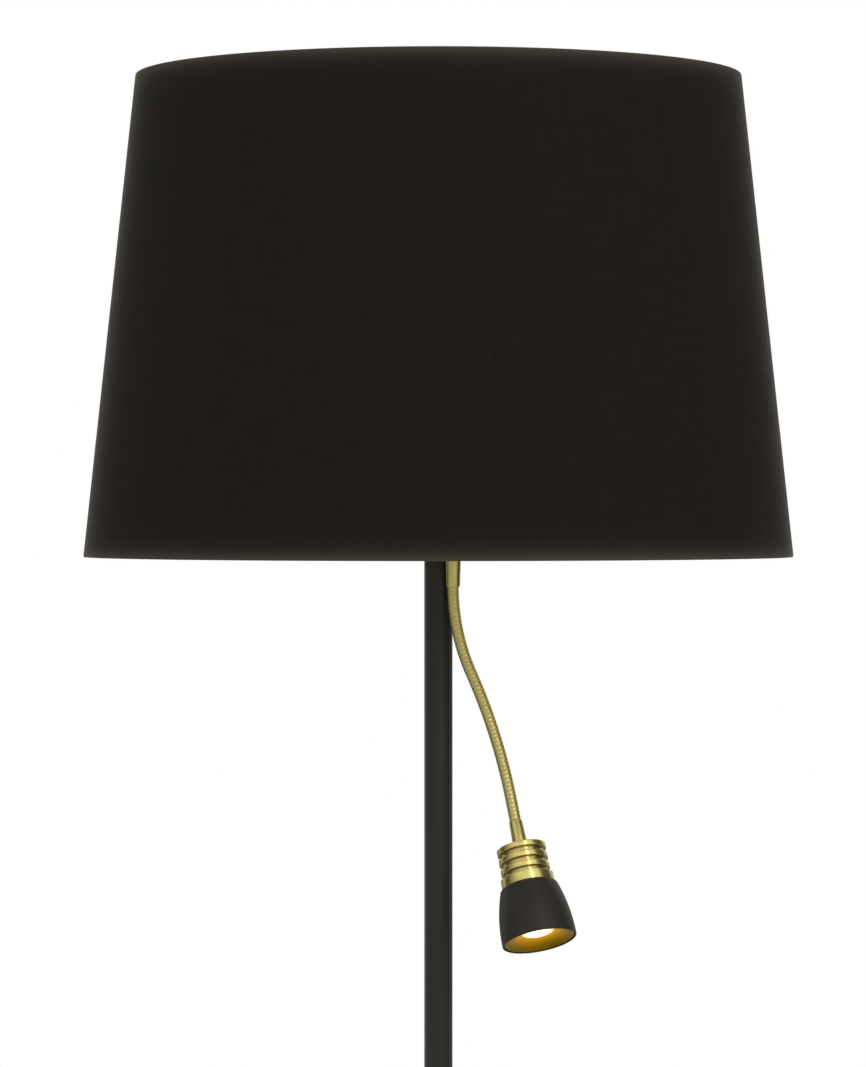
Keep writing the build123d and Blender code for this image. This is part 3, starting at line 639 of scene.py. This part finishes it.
def makeBase():
    low, high = boxOf("base_cover")
    outer, inner = high.x, high.x - base["wall"]
    under = high.z - base["wall"]
    turnPiece("baseCover", powderCoat, "base_cover", [
        (base["hole"], high.z), (outer, high.z, base["edge"]), (outer, low.z, base["rim"]),
        (inner, low.z, base["rim"]), (inner, under, base["edge"] - base["wall"]), (base["hole"], under)],
        steps=base["steps"])


def makeFelt():
    low, high = boxOf("base_felt")
    felt = turnPiece("baseFelt", woolFelt, "base_felt", [
        (base["feltHole"], low.z), (high.x, low.z, base["feltEdge"]), (high.x, high.z, base["feltEdge"]),
        (base["feltHole"], high.z)], steps=base["steps"])


def makeBush():
    low, high = boxOf("cord_gland")
    inside, outside = low.y, high.y
    seat = outside - base["flangeThickness"]
    ledge = inside + base["flangeThickness"]
    place = Matrix.Translation((0, 0, (low.z + high.z) / 2000)) @ Matrix.Rotation(math.radians(-90), 4, "X")
    bore, flange, mouth = base["bushBore"], base["bushFlange"], base["bushMouth"]
    turnPiece("cordBush", sparkAbs, "cord_gland", [
        (bore, inside, base["bushBack"]), (flange, inside, base["bushBackEdge"]), (flange, ledge),
        (base["bushNeck"], ledge), (base["bushNeck"], seat), (flange, seat), (flange, outside, mouth),
        (bore, outside, mouth)], place, steps=base["bushSteps"])


makeBase()
makeFelt()
makeBush()
print("base made")


# Housing: a round tray on the pole, with its lid, and two push buttons underneath

housing = {"wall": 1.2, "edge": 1.2, "lidEdge": 0.4, "lipEdge": 0.3, "hole": 5.1, "floorRadius": 29.0,
           "buttons": ("shade_light_button", "reading_light_button"), "cap": 4.5, "buttonGap": 0.3,
           "buttonEdge": 0.84, "buttonSteps": 48, "flange": 5.75, "flangeThickness": 1.2, "flangeEdge": 0.2,
           "dish": 0.35, "dishRadius": 2.1, "dishRound": 1.5, "dishRim": 3.3, "dishRimRound": 0.4}


def buttonPlace(node):  # where the middle of a button is, seen from above
    low, high = boxOf(node)
    return (low.x + high.x) / 2, (low.y + high.y) / 2


def makeTray():
    low, high = boxOf("housing_body")
    outer, inner = high.x, high.x - housing["wall"]
    inside = low.z + housing["wall"]
    floorRadius = housing["floorRadius"]
    bm = startOutline([
        (floorRadius, inside), (inner, inside), (inner, high.z), (outer, high.z, housing["lipEdge"]),
        (outer, low.z, housing["edge"]), (floorRadius, low.z)], closed=False)
    spinRound(bm)
    holes = [(0, 0, floorRadius, meshing["spinSteps"])]
    for node in housing["buttons"]:
        holes.append((*buttonPlace(node), housing["cap"] + housing["buttonGap"], housing["buttonSteps"]))
    rim = []
    for x, y, radius, sides in holes:
        rim += bmesh.ops.create_circle(bm, segments=sides, radius=radius / 1000,
                                       matrix=Matrix.Translation(Vector((x, y, low.z)) / 1000))["verts"]
    loops = list({edge for vert in rim for edge in vert.link_edges if not edge.link_faces})
    plate = [part for part in bmesh.ops.triangle_fill(bm, edges=loops, use_beauty=True)["geom"]
             if isinstance(part, bmesh.types.BMFace)]
    raised = bmesh.ops.extrude_face_region(bm, geom=plate, use_keep_orig=True)["geom"]
    bmesh.ops.translate(bm, vec=(0, 0, housing["wall"] / 1000),
                        verts=[part for part in raised if isinstance(part, bmesh.types.BMVert)])
    outside = [face for face in bm.faces if all(
        abs(vert.co.xy.length - floorRadius / 1000) < meshing["select"] for vert in face.verts)
        and abs(face.calc_center_median().z - (low.z + housing["wall"] / 2) / 1000) < meshing["select"]]
    bmesh.ops.delete(bm, geom=outside, context="FACES")
    tidyMesh(bm)
    finishPiece(bm, "housingTray", powderCoat, ["housing_body"])


def makeLid():
    low, high = boxOf("housing_lid")
    under = high.z - housing["wall"]
    turnPiece("housingLid", powderCoat, "housing_lid", [
        (housing["hole"], under), (high.x, under, housing["lipEdge"]), (high.x, high.z, housing["lidEdge"]),
        (housing["hole"], high.z)])


def makeButton(node):
    low, high = boxOf(node)
    x, y = buttonPlace(node)
    cap, flange, edge = housing["cap"], housing["flange"], housing["flangeEdge"]
    ledge = high.z - housing["flangeThickness"]
    hollow = low.z + housing["dish"]
    outline = [
        (0, hollow), (housing["dishRadius"], hollow, housing["dishRound"]),
        (housing["dishRim"], low.z, housing["dishRimRound"]), (cap, low.z, housing["buttonEdge"]),
        (cap, ledge), (flange, ledge, edge), (flange, high.z, edge), (0, high.z)]
    turnPiece(node.title().replace("_", "") + "Cap", sparkAbs, node, outline,
              Matrix.Translation((x / 1000, y / 1000, 0)), closed=False, steps=housing["buttonSteps"])


makeTray()
makeLid()
for buttonNode in housing["buttons"]:
    makeButton(buttonNode)
print("housing made")


# Lampholder with its screw thread and ring nut, and the globe bulb

holder = {"bore": 5.1, "entry": 12.0, "cone": 11.0, "coneEdge": 3.0, "wall": 2.0, "ledge": 4.0,
          "insertDepth": 5.0, "floor": 12.0, "lipEdge": 0.4, "edge": 0.6, "flange": 2.0, "flangeEdge": 0.5,
          "step": 1.0, "seat": 5.0, "threadRoot": 18.9, "threadCrest": 19.5, "threadPitch": 3.0,
          "threadSink": 0.1, "threadShares": (0.3, 0.5, 0.8), "threadStart": 0.2, "threadRunOut": 1.4,
          "nutInner": 19.6, "grips": 30, "gripDepth": 0.7, "gripInset": 0.5, "gripTilt": 0.01}


def makeHolderCap():
    low, high = boxOf("lampholder_cap")
    outer, inner = high.x, high.x - holder["wall"]
    ledge = high.z - holder["insertDepth"]
    floor = low.z + holder["floor"]
    turnPiece("lampholderCap", phenolic, "lampholder_cap", [
        (holder["bore"], low.z), (holder["entry"], low.z, holder["edge"]),
        (outer, low.z + holder["cone"], holder["coneEdge"]), (outer, high.z, holder["lipEdge"]),
        (inner, high.z), (inner, ledge), (inner - holder["ledge"], ledge),
        (inner - holder["ledge"], floor), (holder["bore"], floor)])


def makeHolderSkirt():
    low, high = boxOf("lampholder_skirt")
    root, crest, pitch = holder["threadRoot"], holder["threadCrest"], holder["threadPitch"]
    edge, rim = holder["edge"], holder["flangeEdge"]
    seat = boxOf("lampholder_cap")[1].x - holder["wall"]
    bore = seat - holder["step"]
    shoulder = low.z + holder["flange"]
    bm = turnOutline([
        (seat, low.z), (high.x, low.z, rim), (high.x, shoulder, rim), (root, shoulder),
        (root, high.z, edge), (bore, high.z, edge), (bore, low.z + holder["seat"]),
        (seat, low.z + holder["seat"])])
    foot = root - holder["threadSink"]
    rise, fall, end = [share * pitch for share in holder["threadShares"]]
    ridge = [(foot, 0), (crest, rise), (crest, fall), (foot, end)]
    turns = (high.z - shoulder) / pitch - holder["threadRunOut"]
    spinThread(bm, ridge, shoulder + holder["threadStart"] * pitch, pitch, turns, meshing["threadSteps"])
    bmesh.ops.holes_fill(bm, edges=[side for side in bm.edges if side.is_boundary], sides=0)
    tidyMesh(bm)
    finishPiece(bm, "lampholderSkirt", phenolic, ["lampholder_skirt"])


def makeRingNut():
    low, high = boxOf("shade_ring_nut")
    outer = high.x - holder["gripDepth"]
    edge = holder["edge"]
    bm = turnOutline([(holder["nutInner"], low.z), (outer, low.z, edge), (outer, high.z, edge),
                      (holder["nutInner"], high.z, edge)], steps=holder["grips"] * 2)
    tall = (high.z - low.z) / 2000
    sides = [face for face in bm.faces if abs(face.normal.z) < holder["gripTilt"]
             and face.calc_center_median().xy.length > (outer - holder["gripInset"]) / 1000
             and max(v.co.z for v in face.verts) - min(v.co.z for v in face.verts) > tall]
    sides.sort(key=lambda face: math.atan2(face.calc_center_median().y, face.calc_center_median().x))
    bmesh.ops.inset_individual(bm, faces=sides[::2], thickness=holder["gripInset"] / 1000,
                               depth=holder["gripDepth"] / 1000)
    finishPiece(bm, "shadeRingNut", phenolic, ["shade_ring_nut"])


bulb = {"capDiameter": 26.6, "arcSteps": 28, "neckEdge": 0.8}


def makeGlobe():
    low, high = boxOf("bulb_globe")
    radius = high.x
    centre = high.z - radius
    neck = bulb["capDiameter"] / 2
    reach = math.hypot(neck, centre - low.z)
    touch = math.atan2(neck, centre - low.z) + math.atan2(radius, math.sqrt(reach ** 2 - radius ** 2))
    sweep = touch + math.pi / 2
    turns = [-touch + sweep * share for share in sharesOf(bulb["arcSteps"])[:-1]]
    arc = [(radius * math.cos(turn), centre + radius * math.sin(turn)) for turn in turns]
    outline = [(0, low.z), (neck, low.z, bulb["neckEdge"])] + arc + [(0, high.z)]
    turnPiece("bulbGlobe", opalGlass, "bulb_globe", outline, closed=False)


makeHolderCap()
makeHolderSkirt()
makeRingNut()
makeGlobe()
print("lampholder and bulb made")


# Gooseneck: brass strip wound into a hose that hangs from the housing, leans out and comes forward

neck = {"diameter": 7.4, "length": 155.7, "grip": 4.0, "reach": 14.8, "azimuth": -51.3,
        "leanPeak": 23.9, "leanPeakAt": 0.36, "leanEnd": 11.3, "leanEndAt": 0.90, "tiltEnd": 22.6,
        "links": 12, "ribsPerLink": 5, "grooveDepth": 0.15, "ridgePoints": 10, "ridgePower": 3,
        "stations": 300, "steps": 36, "sharp": 60, "phase": 0.0075}  # the phase keeps cuts off corners
neckTop = boxOf("upper_ferrule")[0].z
ribPitch = (neck["length"] + 2 * neck["grip"]) / (neck["links"] * neck["ribsPerLink"])
linkLength = ribPitch * neck["ribsPerLink"]


def neckHeading(distance):  # direction at a distance along the neck from the upper ferrule's tip
    part = min(max(distance / neck["length"], 0), 1)
    if part < neck["leanPeakAt"]:
        lean = neck["leanPeak"] * part / neck["leanPeakAt"]
    else:
        fall = min((part - neck["leanPeakAt"]) / (neck["leanEndAt"] - neck["leanPeakAt"]), 1)
        lean = neck["leanPeak"] + (neck["leanEnd"] - neck["leanPeak"]) * fall
    tilt = neck["tiltEnd"] * part
    return Vector((math.tan(math.radians(lean)), -math.tan(math.radians(tilt)), -1)).normalized()


def addStations():  # points along the middle line, added up from its headings
    step = neck["length"] / neck["stations"]
    azimuth = math.radians(neck["azimuth"])
    points = [Vector((neck["reach"] * math.cos(azimuth), neck["reach"] * math.sin(azimuth), neckTop))]
    for number in range(neck["stations"]):
        points.append(points[-1] + neckHeading((number + 0.5) * step) * step)
    return points


neckStations = addStations()


def neckFrame(distance):  # place across the neck: X to the lamp's right, Z along the neck
    step = neck["length"] / neck["stations"]
    number = min(max(math.floor(distance / step), 0), neck["stations"])
    heading = neckHeading(distance)
    point = neckStations[number] + neckHeading(number * step) * (distance - number * step)
    right = (Vector((1, 0, 0)) - heading * heading.x).normalized()
    forward = heading.cross(right)
    turned = Matrix((right, forward, heading)).transposed().to_4x4()
    return Matrix.Translation(point / 1000) @ turned


def windHose(start, end):  # from a whole number of turns, so that the pieces' turns meet
    root = neck["diameter"] / 2 - neck["grooveDepth"]
    sides = [-math.cos(math.pi * share) for share in sharesOf(neck["ridgePoints"])]  # closer at the groove
    ridge = [(root + neck["grooveDepth"] * (1 - abs(side) ** neck["ridgePower"]), (1 + side) / 2 * ribPitch)
             for side in sides]
    first = math.floor((start + neck["grip"]) / ribPitch) - 1
    turns = math.ceil((end + neck["grip"]) / ribPitch) - first + 1
    bm = bmesh.new()
    spinThread(bm, ridge, (first + neck["phase"]) * ribPitch - neck["grip"], ribPitch, turns, neck["steps"])
    tidyMesh(bm)
    markVerts(bm, "along", lambda spot: spot.z)
    for vert in bm.verts:
        vert.co = neckFrame(vert.co.z * 1000) @ Vector((vert.co.x, vert.co.y, 0))
    return bm


def cutHose(bm, distance, keepAfter):
    across = neckFrame(distance)
    bmesh.ops.bisect_plane(bm, geom=bm.verts[:] + bm.edges[:] + bm.faces[:], dist=meshing["cut"],
                           plane_co=across.translation, plane_no=across.col[2].xyz,
                           clear_inner=keepAfter, clear_outer=not keepAfter)


def makeNeck():
    lastJoint = neck["links"] - 1
    for number in range(1, lastJoint + 1):
        start = (number - 0.5) * linkLength - neck["grip"]
        end = start + linkLength
        nodes = [f"neck_link_{number:02d}"]
        top = -neck["grip"] if number == 1 else start
        bottom = neck["length"] + neck["grip"] if number == lastJoint else end
        bm = windHose(top, bottom)
        cutHose(bm, top, True)
        cutHose(bm, bottom, False)
        bmesh.ops.holes_fill(bm, edges=[edge for edge in bm.edges if edge.is_boundary], sides=0)
        bmesh.ops.recalc_face_normals(bm, faces=bm.faces)
        if number == 1:
            nodes.append("reading_light_lead")
        if number == lastJoint:
            nodes.append(f"neck_link_{number + 1:02d}")
        above = "stand" if number == 1 else f"link_{number:02d}"
        below = "reading_head" if number == lastJoint else f"link_{number + 1:02d}"
        bend = (above, below, neckFrame(start).translation, neckFrame(end).translation)
        finishPiece(bm, f"neckHose{number:02d}", woundBrass, nodes, bend=bend, sharp=neck["sharp"])


ferrule = {"upperTip": 4.45, "upperWide": 5.4, "upperPin": 9.0, "lowerTip": 4.2, "lowerWide": 4.7,
           "lowerPin": 4.0, "lowerLength": 17.9, "flare": 1.0, "flareHeight": 2.0, "flareRound": 1.6,
           "tipChamfer": 0.5, "grip": 3.8, "bore": 1.5, "pin": 3.0, "edge": 0.2, "fineEdge": 0.1,
           "steps": 64}


def ferruleOutline(side, foot):  # from the tip that grips the neck, up the cone and back down the bore
    tip, length, chamfer = ferrule[side + "Tip"], foot[-1][1], ferrule["tipChamfer"]
    end = length + ferrule[side + "Pin"]
    return [(ferrule["grip"], 0), (tip - chamfer / 2, 0, ferrule["fineEdge"]),
            (tip, chamfer, ferrule["edge"])] + foot + [
        (ferrule["pin"], length), (ferrule["pin"], end), (ferrule["bore"], end),
        (ferrule["bore"], neck["grip"]), (ferrule["grip"], neck["grip"])]


def makeFerrules():
    upperFoot = [(ferrule["upperWide"], boxOf("housing_body")[0].z - neckTop, ferrule["edge"])]
    turnPiece("upperFerrule", turnedBrass, "upper_ferrule", ferruleOutline("upper", upperFoot),
              Matrix.Translation(neckStations[0] / 1000), steps=ferrule["steps"])
    wide, length = ferrule["lowerWide"], ferrule["lowerLength"]
    lowerFoot = [(wide, length - ferrule["flareHeight"], ferrule["flareRound"]),
                 (wide + ferrule["flare"], length, ferrule["fineEdge"])]
    turnPiece("lowerFerrule", turnedBrass, "lower_ferrule", ferruleOutline("lower", lowerFoot),
              neckFrame(neck["length"]), steps=ferrule["steps"])


makeNeck()
makeFerrules()
print("gooseneck made")


# Reading head: turned collar, cup, gold dish and lit lens, on the line of the neck's end

head = {
    "collarRadius": 15.5, "grooveDepth": 1.7, "land": 3.5, "groove": 3.05, "grooves": 3, "edge": 0.4,
    "grooveTop": 0.25, "grooveFoot": 0.6, "footRadius": 16.7, "foot": 6.05, "footEdge": 0.2, "topWall": 5.0,
    # the last three set the painted shade under each land: its reach along the axis and its limits across
    # the groove
    "pinHole": 3.1, "hollow": 11.8, "landShadeReach": 0.3, "landShadeOver": 0.1, "landShadeShy": 0.2,
    "cupLength": 36.1, "cupShoulder": 17.75, "cupMouth": 23.4, "cupBulge": 1.6, "cupWall": 1.2,
    "cupEdge": 1.6, "mouthEdge": 0.5, "cupRows": 18, "steps": 128,
    "lensDepth": 6.0, "lensRadius": 10.4, "lensHeight": 10.5, "lensRim": 2.0, "lensBack": 5.5,
    "lensDome": 2.0, "lensRows": 10, "lensEdge": 0.2,
    "dishInner": 10.5, "dishFlat": 11.7, "dishLip": 0.7, "dishThickness": 0.6, "dishGap": 0.3,
    "dishRows": 8, "dishSag": 0.25, "spillPower": 2,
}
headPlace = neckFrame(neck["length"] + ferrule["lowerLength"])
collarLength = head["grooves"] * (head["land"] + head["groove"]) + head["foot"]
headLength = collarLength + head["cupLength"]
lensFront = headLength - head["lensDepth"]


def makeCollar():
    land, foot, edge = head["collarRadius"], head["footRadius"], head["edge"]
    root = land - head["grooveDepth"]
    outline = [(head["pinHole"], 0), (land, 0, edge)]
    height = 0
    lows = []
    for number in range(head["grooves"]):
        low = height + head["land"]
        lows.append(low)
        height = low + head["groove"]
        following = land if number < head["grooves"] - 1 else foot
        outline += [(land, low, edge), (root, low, head["grooveTop"]), (root, height, head["grooveFoot"]),
                    (following, height, edge)]
    outline += [(foot, collarLength, head["footEdge"]), (head["hollow"], collarLength),
                (head["hollow"], head["topWall"]), (head["pinHole"], head["topWall"])]
    bm = turnOutline(outline, steps=head["steps"])

    def paintedLandShade(spot):  # painted shade, in the corner under each land
        underLand = min(abs(spot.z * 1000 - low) for low in lows) < head["landShadeReach"]
        inGroove = root - head["landShadeOver"] < spot.xy.length * 1000 < land - head["landShadeShy"]
        return float(underLand and inGroove)

    # painted shade under each land
    markVerts(bm, "landShade", paintedLandShade)
    finishPiece(bm, "headCollar", turnedBrass, ["head_collar"], headPlace)


def cupRadius(depth, inset):
    part = depth / head["cupLength"]
    straight = head["cupShoulder"] + (head["cupMouth"] - head["cupShoulder"]) * part
    return straight + 4 * head["cupBulge"] * part * (1 - part) - inset


def cupSide(inset, top, bottom):
    depths = [top + (bottom - top) * share for share in sharesOf(head["cupRows"])]
    return [(cupRadius(depth, inset), collarLength + depth) for depth in depths]


def makeCup():
    wall = head["cupWall"]
    outside = cupSide(0, 0, head["cupLength"])
    inside = cupSide(wall, wall, head["cupLength"])[::-1]
    outside[0] += (head["cupEdge"],)
    outside[-1] += (head["mouthEdge"],)
    inside[0] += (head["mouthEdge"],)
    hole = [(head["hollow"], collarLength + wall), (head["hollow"], collarLength)]
    turnPiece("headCup", stoveEnamel, "head_cup", outside + inside + hole, headPlace, steps=head["steps"])


def makeDish():
    rim = cupRadius(head["cupLength"] - head["dishLip"], head["cupWall"]) - head["dishGap"]
    front = headLength - head["dishLip"]
    floor = lensFront + head["dishThickness"]
    curve = []
    for share in sharesOf(head["dishRows"]):
        sag = 4 * head["dishSag"] * share * (1 - share)
        curve.append((head["dishFlat"] + (rim - head["dishFlat"]) * share,
                      floor + (front - floor) * share - sag))
    back = [(radius, height - head["dishThickness"]) for radius, height in reversed(curve)]
    outline = [(head["dishInner"], floor)] + curve + back + [(head["dishInner"], lensFront)]
    bm = turnOutline(outline, steps=head["steps"])

    def lightSpilt(spot):  # strongest beside the lens, and gone at the rim
        share = (rim - spot.xy.length * 1000) / (rim - head["dishFlat"])
        return min(max(share, 0), 1) ** head["spillPower"]

    markVerts(bm, "spill", lightSpilt)
    finishPiece(bm, "headDish", goldAnodised, ["reflector"], headPlace)


def makeLens():
    radius = head["lensRadius"]
    back = lensFront - head["lensHeight"]
    shares = sharesOf(head["lensRows"])[:-1]
    dome = [(radius * share, lensFront + head["lensDome"] * (1 - share ** 2)) for share in shares]
    side = [(radius, lensFront, head["lensEdge"]), (radius, lensFront - head["lensRim"])]
    bm = turnOutline(dome + side + [(head["lensBack"], back), (0, back)], closed=False)
    markVerts(bm, "across", lambda spot: spot.xy.length)
    finishPiece(bm, "headLens", lensGlow, ["head_lens"], headPlace)


makeCollar()
makeCup()
makeDish()
makeLens()
print("reading head made")


# CAD nodes that stay as they are, inside the lamp or under it

innerFinishes = {
    "base_weight": castIron, "base_stud": zincPlate, "base_nut": zincPlate, "base_washer": zincPlate,
    "pole_inserts": zincPlate, "pole_studs": zincPlate, "top_stud": zincPlate, "housing_nut": zincPlate,
    "upper_ferrule_nut": zincPlate, "head_cup_ring": zincPlate, "led_driver": whiteCase,
    "switch_bodies": sparkAbs, "lampholder_insert": porcelain, "lampholder_shell": pressedBrass,
    "lampholder_contact": pressedBrass, "bulb_cap": bareAluminium, "shade_top_ring": dippedWire,
    "shade_bottom_ring": dippedWire, "head_heat_sink": bareAluminium, "led_board": solderMask,
    "led_emitter": porcelain, "lens_holder": sparkAbs,
}
for nodeName, finish in innerFinishes.items():
    for materialSlot in frame["nodes"][nodeName].material_slots:
        materialSlot.material = finish
print("inner pieces dressed:", len(innerFinishes))


# Studio: pale floor, white surround, soft lights, and a wall and a mat that only mirrors see; metres here

studio = {
    "floorRadius": 14.0, "floorDrop": 0.0004, "floorColour": "#E9E8E4", "fadeFrom": 1.2, "fadeTo": 4.0,
    "discSides": 64, "surround": 0.75, "matRadius": 4.0, "matGrey": 0.40, "aimHeight": 1.15,
    "wallRadius": 4.0, "wallHeight": 9.0, "wallReach": 165.0, "wallSteps": 110,
    "wallGreys": ((-165, 0.60), (-120, 0.55), (-108, 0.07), (-92, 0.08), (-78, 0.26), (-60, 0.41),
                  (-40, 0.50), (60, 0.50), (75, 0.06), (118, 0.06), (138, 0.60), (165, 0.60)),
    "wallLifts": ((0.0, 0.9), (1.2, 1.0), (4.0, 2.1), (9.0, 2.1)),
}
lights = {
    "keySoftbox": {"size": (1.6, 1.6), "place": (1.6, -2.4, 2.6), "power": 30.0, "mirrored": False},
    "stripSoftbox": {"size": (0.24, 3.3), "place": (1.0, -2.3, 2.52), "power": 10.6, "mirrored": True},
    "sideSoftbox": {"size": (1.6, 2.0), "place": (-2.8, 0.4, 1.8), "power": 22.0, "mirrored": False},
}


def seenRays(tree):  # 1 for what the eye sees, straight, in mirrors and through glass
    rays = addNode(tree, "LightPath")
    seen = rays.outputs["Is Camera Ray"]
    for kind in ("Is Glossy Ray", "Is Transmission Ray"):
        seen = addNode(tree, "Math", {0: seen, 1: rays.outputs[kind]}, operation="MAXIMUM")
    return seen


def addSurround():  # white where it is seen; a softer level lights the lamp
    world = bpy.data.worlds.new("whiteSurround")
    world.use_nodes = True
    tree = world.node_tree
    strength = addNode(tree, "MapRange", {
        "Value": seenRays(tree), "To Min": studio["surround"], "To Max": 1.0})
    setInputs(tree, tree.nodes["Background"], {"Color": (1, 1, 1, 1), "Strength": strength})
    scene.world = world


def stageMaterial(name):
    material, tree, shader = startMaterial(name, {})
    tree.nodes.remove(shader)
    return material, tree, tree.nodes["Material Output"]


def addStagePiece(bm, name, material):
    piece = linkMesh(bm, name, material)
    return piece


def makeDisc(radius, drop):
    bm = bmesh.new()
    bmesh.ops.create_circle(bm, cap_ends=True, segments=studio["discSides"], radius=radius,
                            matrix=Matrix.Translation((0, 0, -drop)))
    return bm


def addFloor():  # pale floor that keeps the lamp's shadow and fades into the white surround
    material, tree, output = stageMaterial("paleFloor")
    coords = addNode(tree, "TexCoord")
    reach = addNode(tree, "VectorMath", {0: coords.outputs["Object"]}, operation="LENGTH")
    fade = addNode(tree, "MapRange", {
        "Value": reach.outputs["Value"], "From Min": studio["fadeFrom"], "From Max": studio["fadeTo"]},
        interpolation_type="SMOOTHSTEP")
    share = addNode(tree, "Math", {0: fade, 1: seenRays(tree)}, operation="MULTIPLY")
    matt = addNode(tree, "BsdfDiffuse", {"Color": linearColour(studio["floorColour"])})
    white = addNode(tree, "Emission", {"Strength": 1.0})
    mixed = addNode(tree, "MixShader", {0: share, 1: matt, 2: white})
    setInputs(tree, output, {"Surface": mixed})
    addStagePiece(makeDisc(studio["floorRadius"], studio["floorDrop"]), "floor", material)


def hideFromAllButMirrors(piece):
    for kind in ("camera", "diffuse", "transmission", "shadow"):
        setattr(piece, "visible_" + kind, False)


def addWall():  # grey before the lamp, dark at its sides, and lighter higher up
    material, tree, output = stageMaterial("studioWall")
    coords = addNode(tree, "TexCoord")
    parts = addNode(tree, "SeparateXYZ", {0: coords.outputs["Object"]})
    front = addNode(tree, "Math", {0: parts.outputs["Y"], 1: -1.0}, operation="MULTIPLY")
    turn = addNode(tree, "Math", {0: parts.outputs["X"], 1: front}, operation="ARCTAN2")
    angle = addNode(tree, "Math", {0: turn}, operation="DEGREES")
    greys = []
    for value, stops in ((angle, studio["wallGreys"]), (parts.outputs["Z"], studio["wallLifts"])):
        low, high = stops[0][0], stops[-1][0]
        share = addNode(tree, "MapRange", {"Value": value, "From Min": low, "From Max": high})
        ramp = addNode(tree, "ValToRGB", {0: share})
        points = ramp.color_ramp.elements
        for place, grey in stops[1:-1]:
            points.new((place - low) / (high - low))
        for point, (place, grey) in zip(points, stops):
            point.color = (grey, grey, grey, 1)
        greys.append(ramp.outputs["Color"])
    strength = addNode(tree, "Math", {0: greys[0], 1: greys[1]}, operation="MULTIPLY")
    card = addNode(tree, "Emission", {"Strength": strength})
    setInputs(tree, output, {"Surface": card})
    bm = bmesh.new()
    aim = math.radians(-90 - studio["wallReach"])
    foot = (studio["wallRadius"] * math.cos(aim), studio["wallRadius"] * math.sin(aim))
    ends = [bm.verts.new((*foot, height)) for height in (0, studio["wallHeight"])]
    edge = bm.edges.new(ends)
    bmesh.ops.spin(bm, geom=ends + [edge], axis=(0, 0, 1), cent=(0, 0, 0),
                   angle=math.radians(2 * studio["wallReach"]), steps=studio["wallSteps"])
    hideFromAllButMirrors(addStagePiece(bm, "studioWall", material))


def addMat():  # dim floor round the lamp
    material, tree, output = stageMaterial("studioMat")
    card = addNode(tree, "Emission", {"Strength": studio["matGrey"]})
    setInputs(tree, output, {"Surface": card})
    disc = makeDisc(studio["matRadius"], studio["floorDrop"] / 2)
    hideFromAllButMirrors(addStagePiece(disc, "studioMat", material))


def addLight(name, settings):
    data = bpy.data.lights.new(name, "AREA")
    data.shape = "RECTANGLE"
    data.size, data.size_y = settings["size"]
    data.energy = settings["power"]
    light = bpy.data.objects.new(name, data)
    light.location = settings["place"]
    aim = Vector((0, 0, studio["aimHeight"])) - Vector(settings["place"])
    light.rotation_euler = aim.to_track_quat("-Z", "Y").to_euler()
    light.visible_glossy = settings["mirrored"]
    scene.collection.objects.link(light)


addSurround()
addFloor()
addWall()
addMat()
for lightName, lightSettings in lights.items():
    addLight(lightName, lightSettings)
print("studio lit")
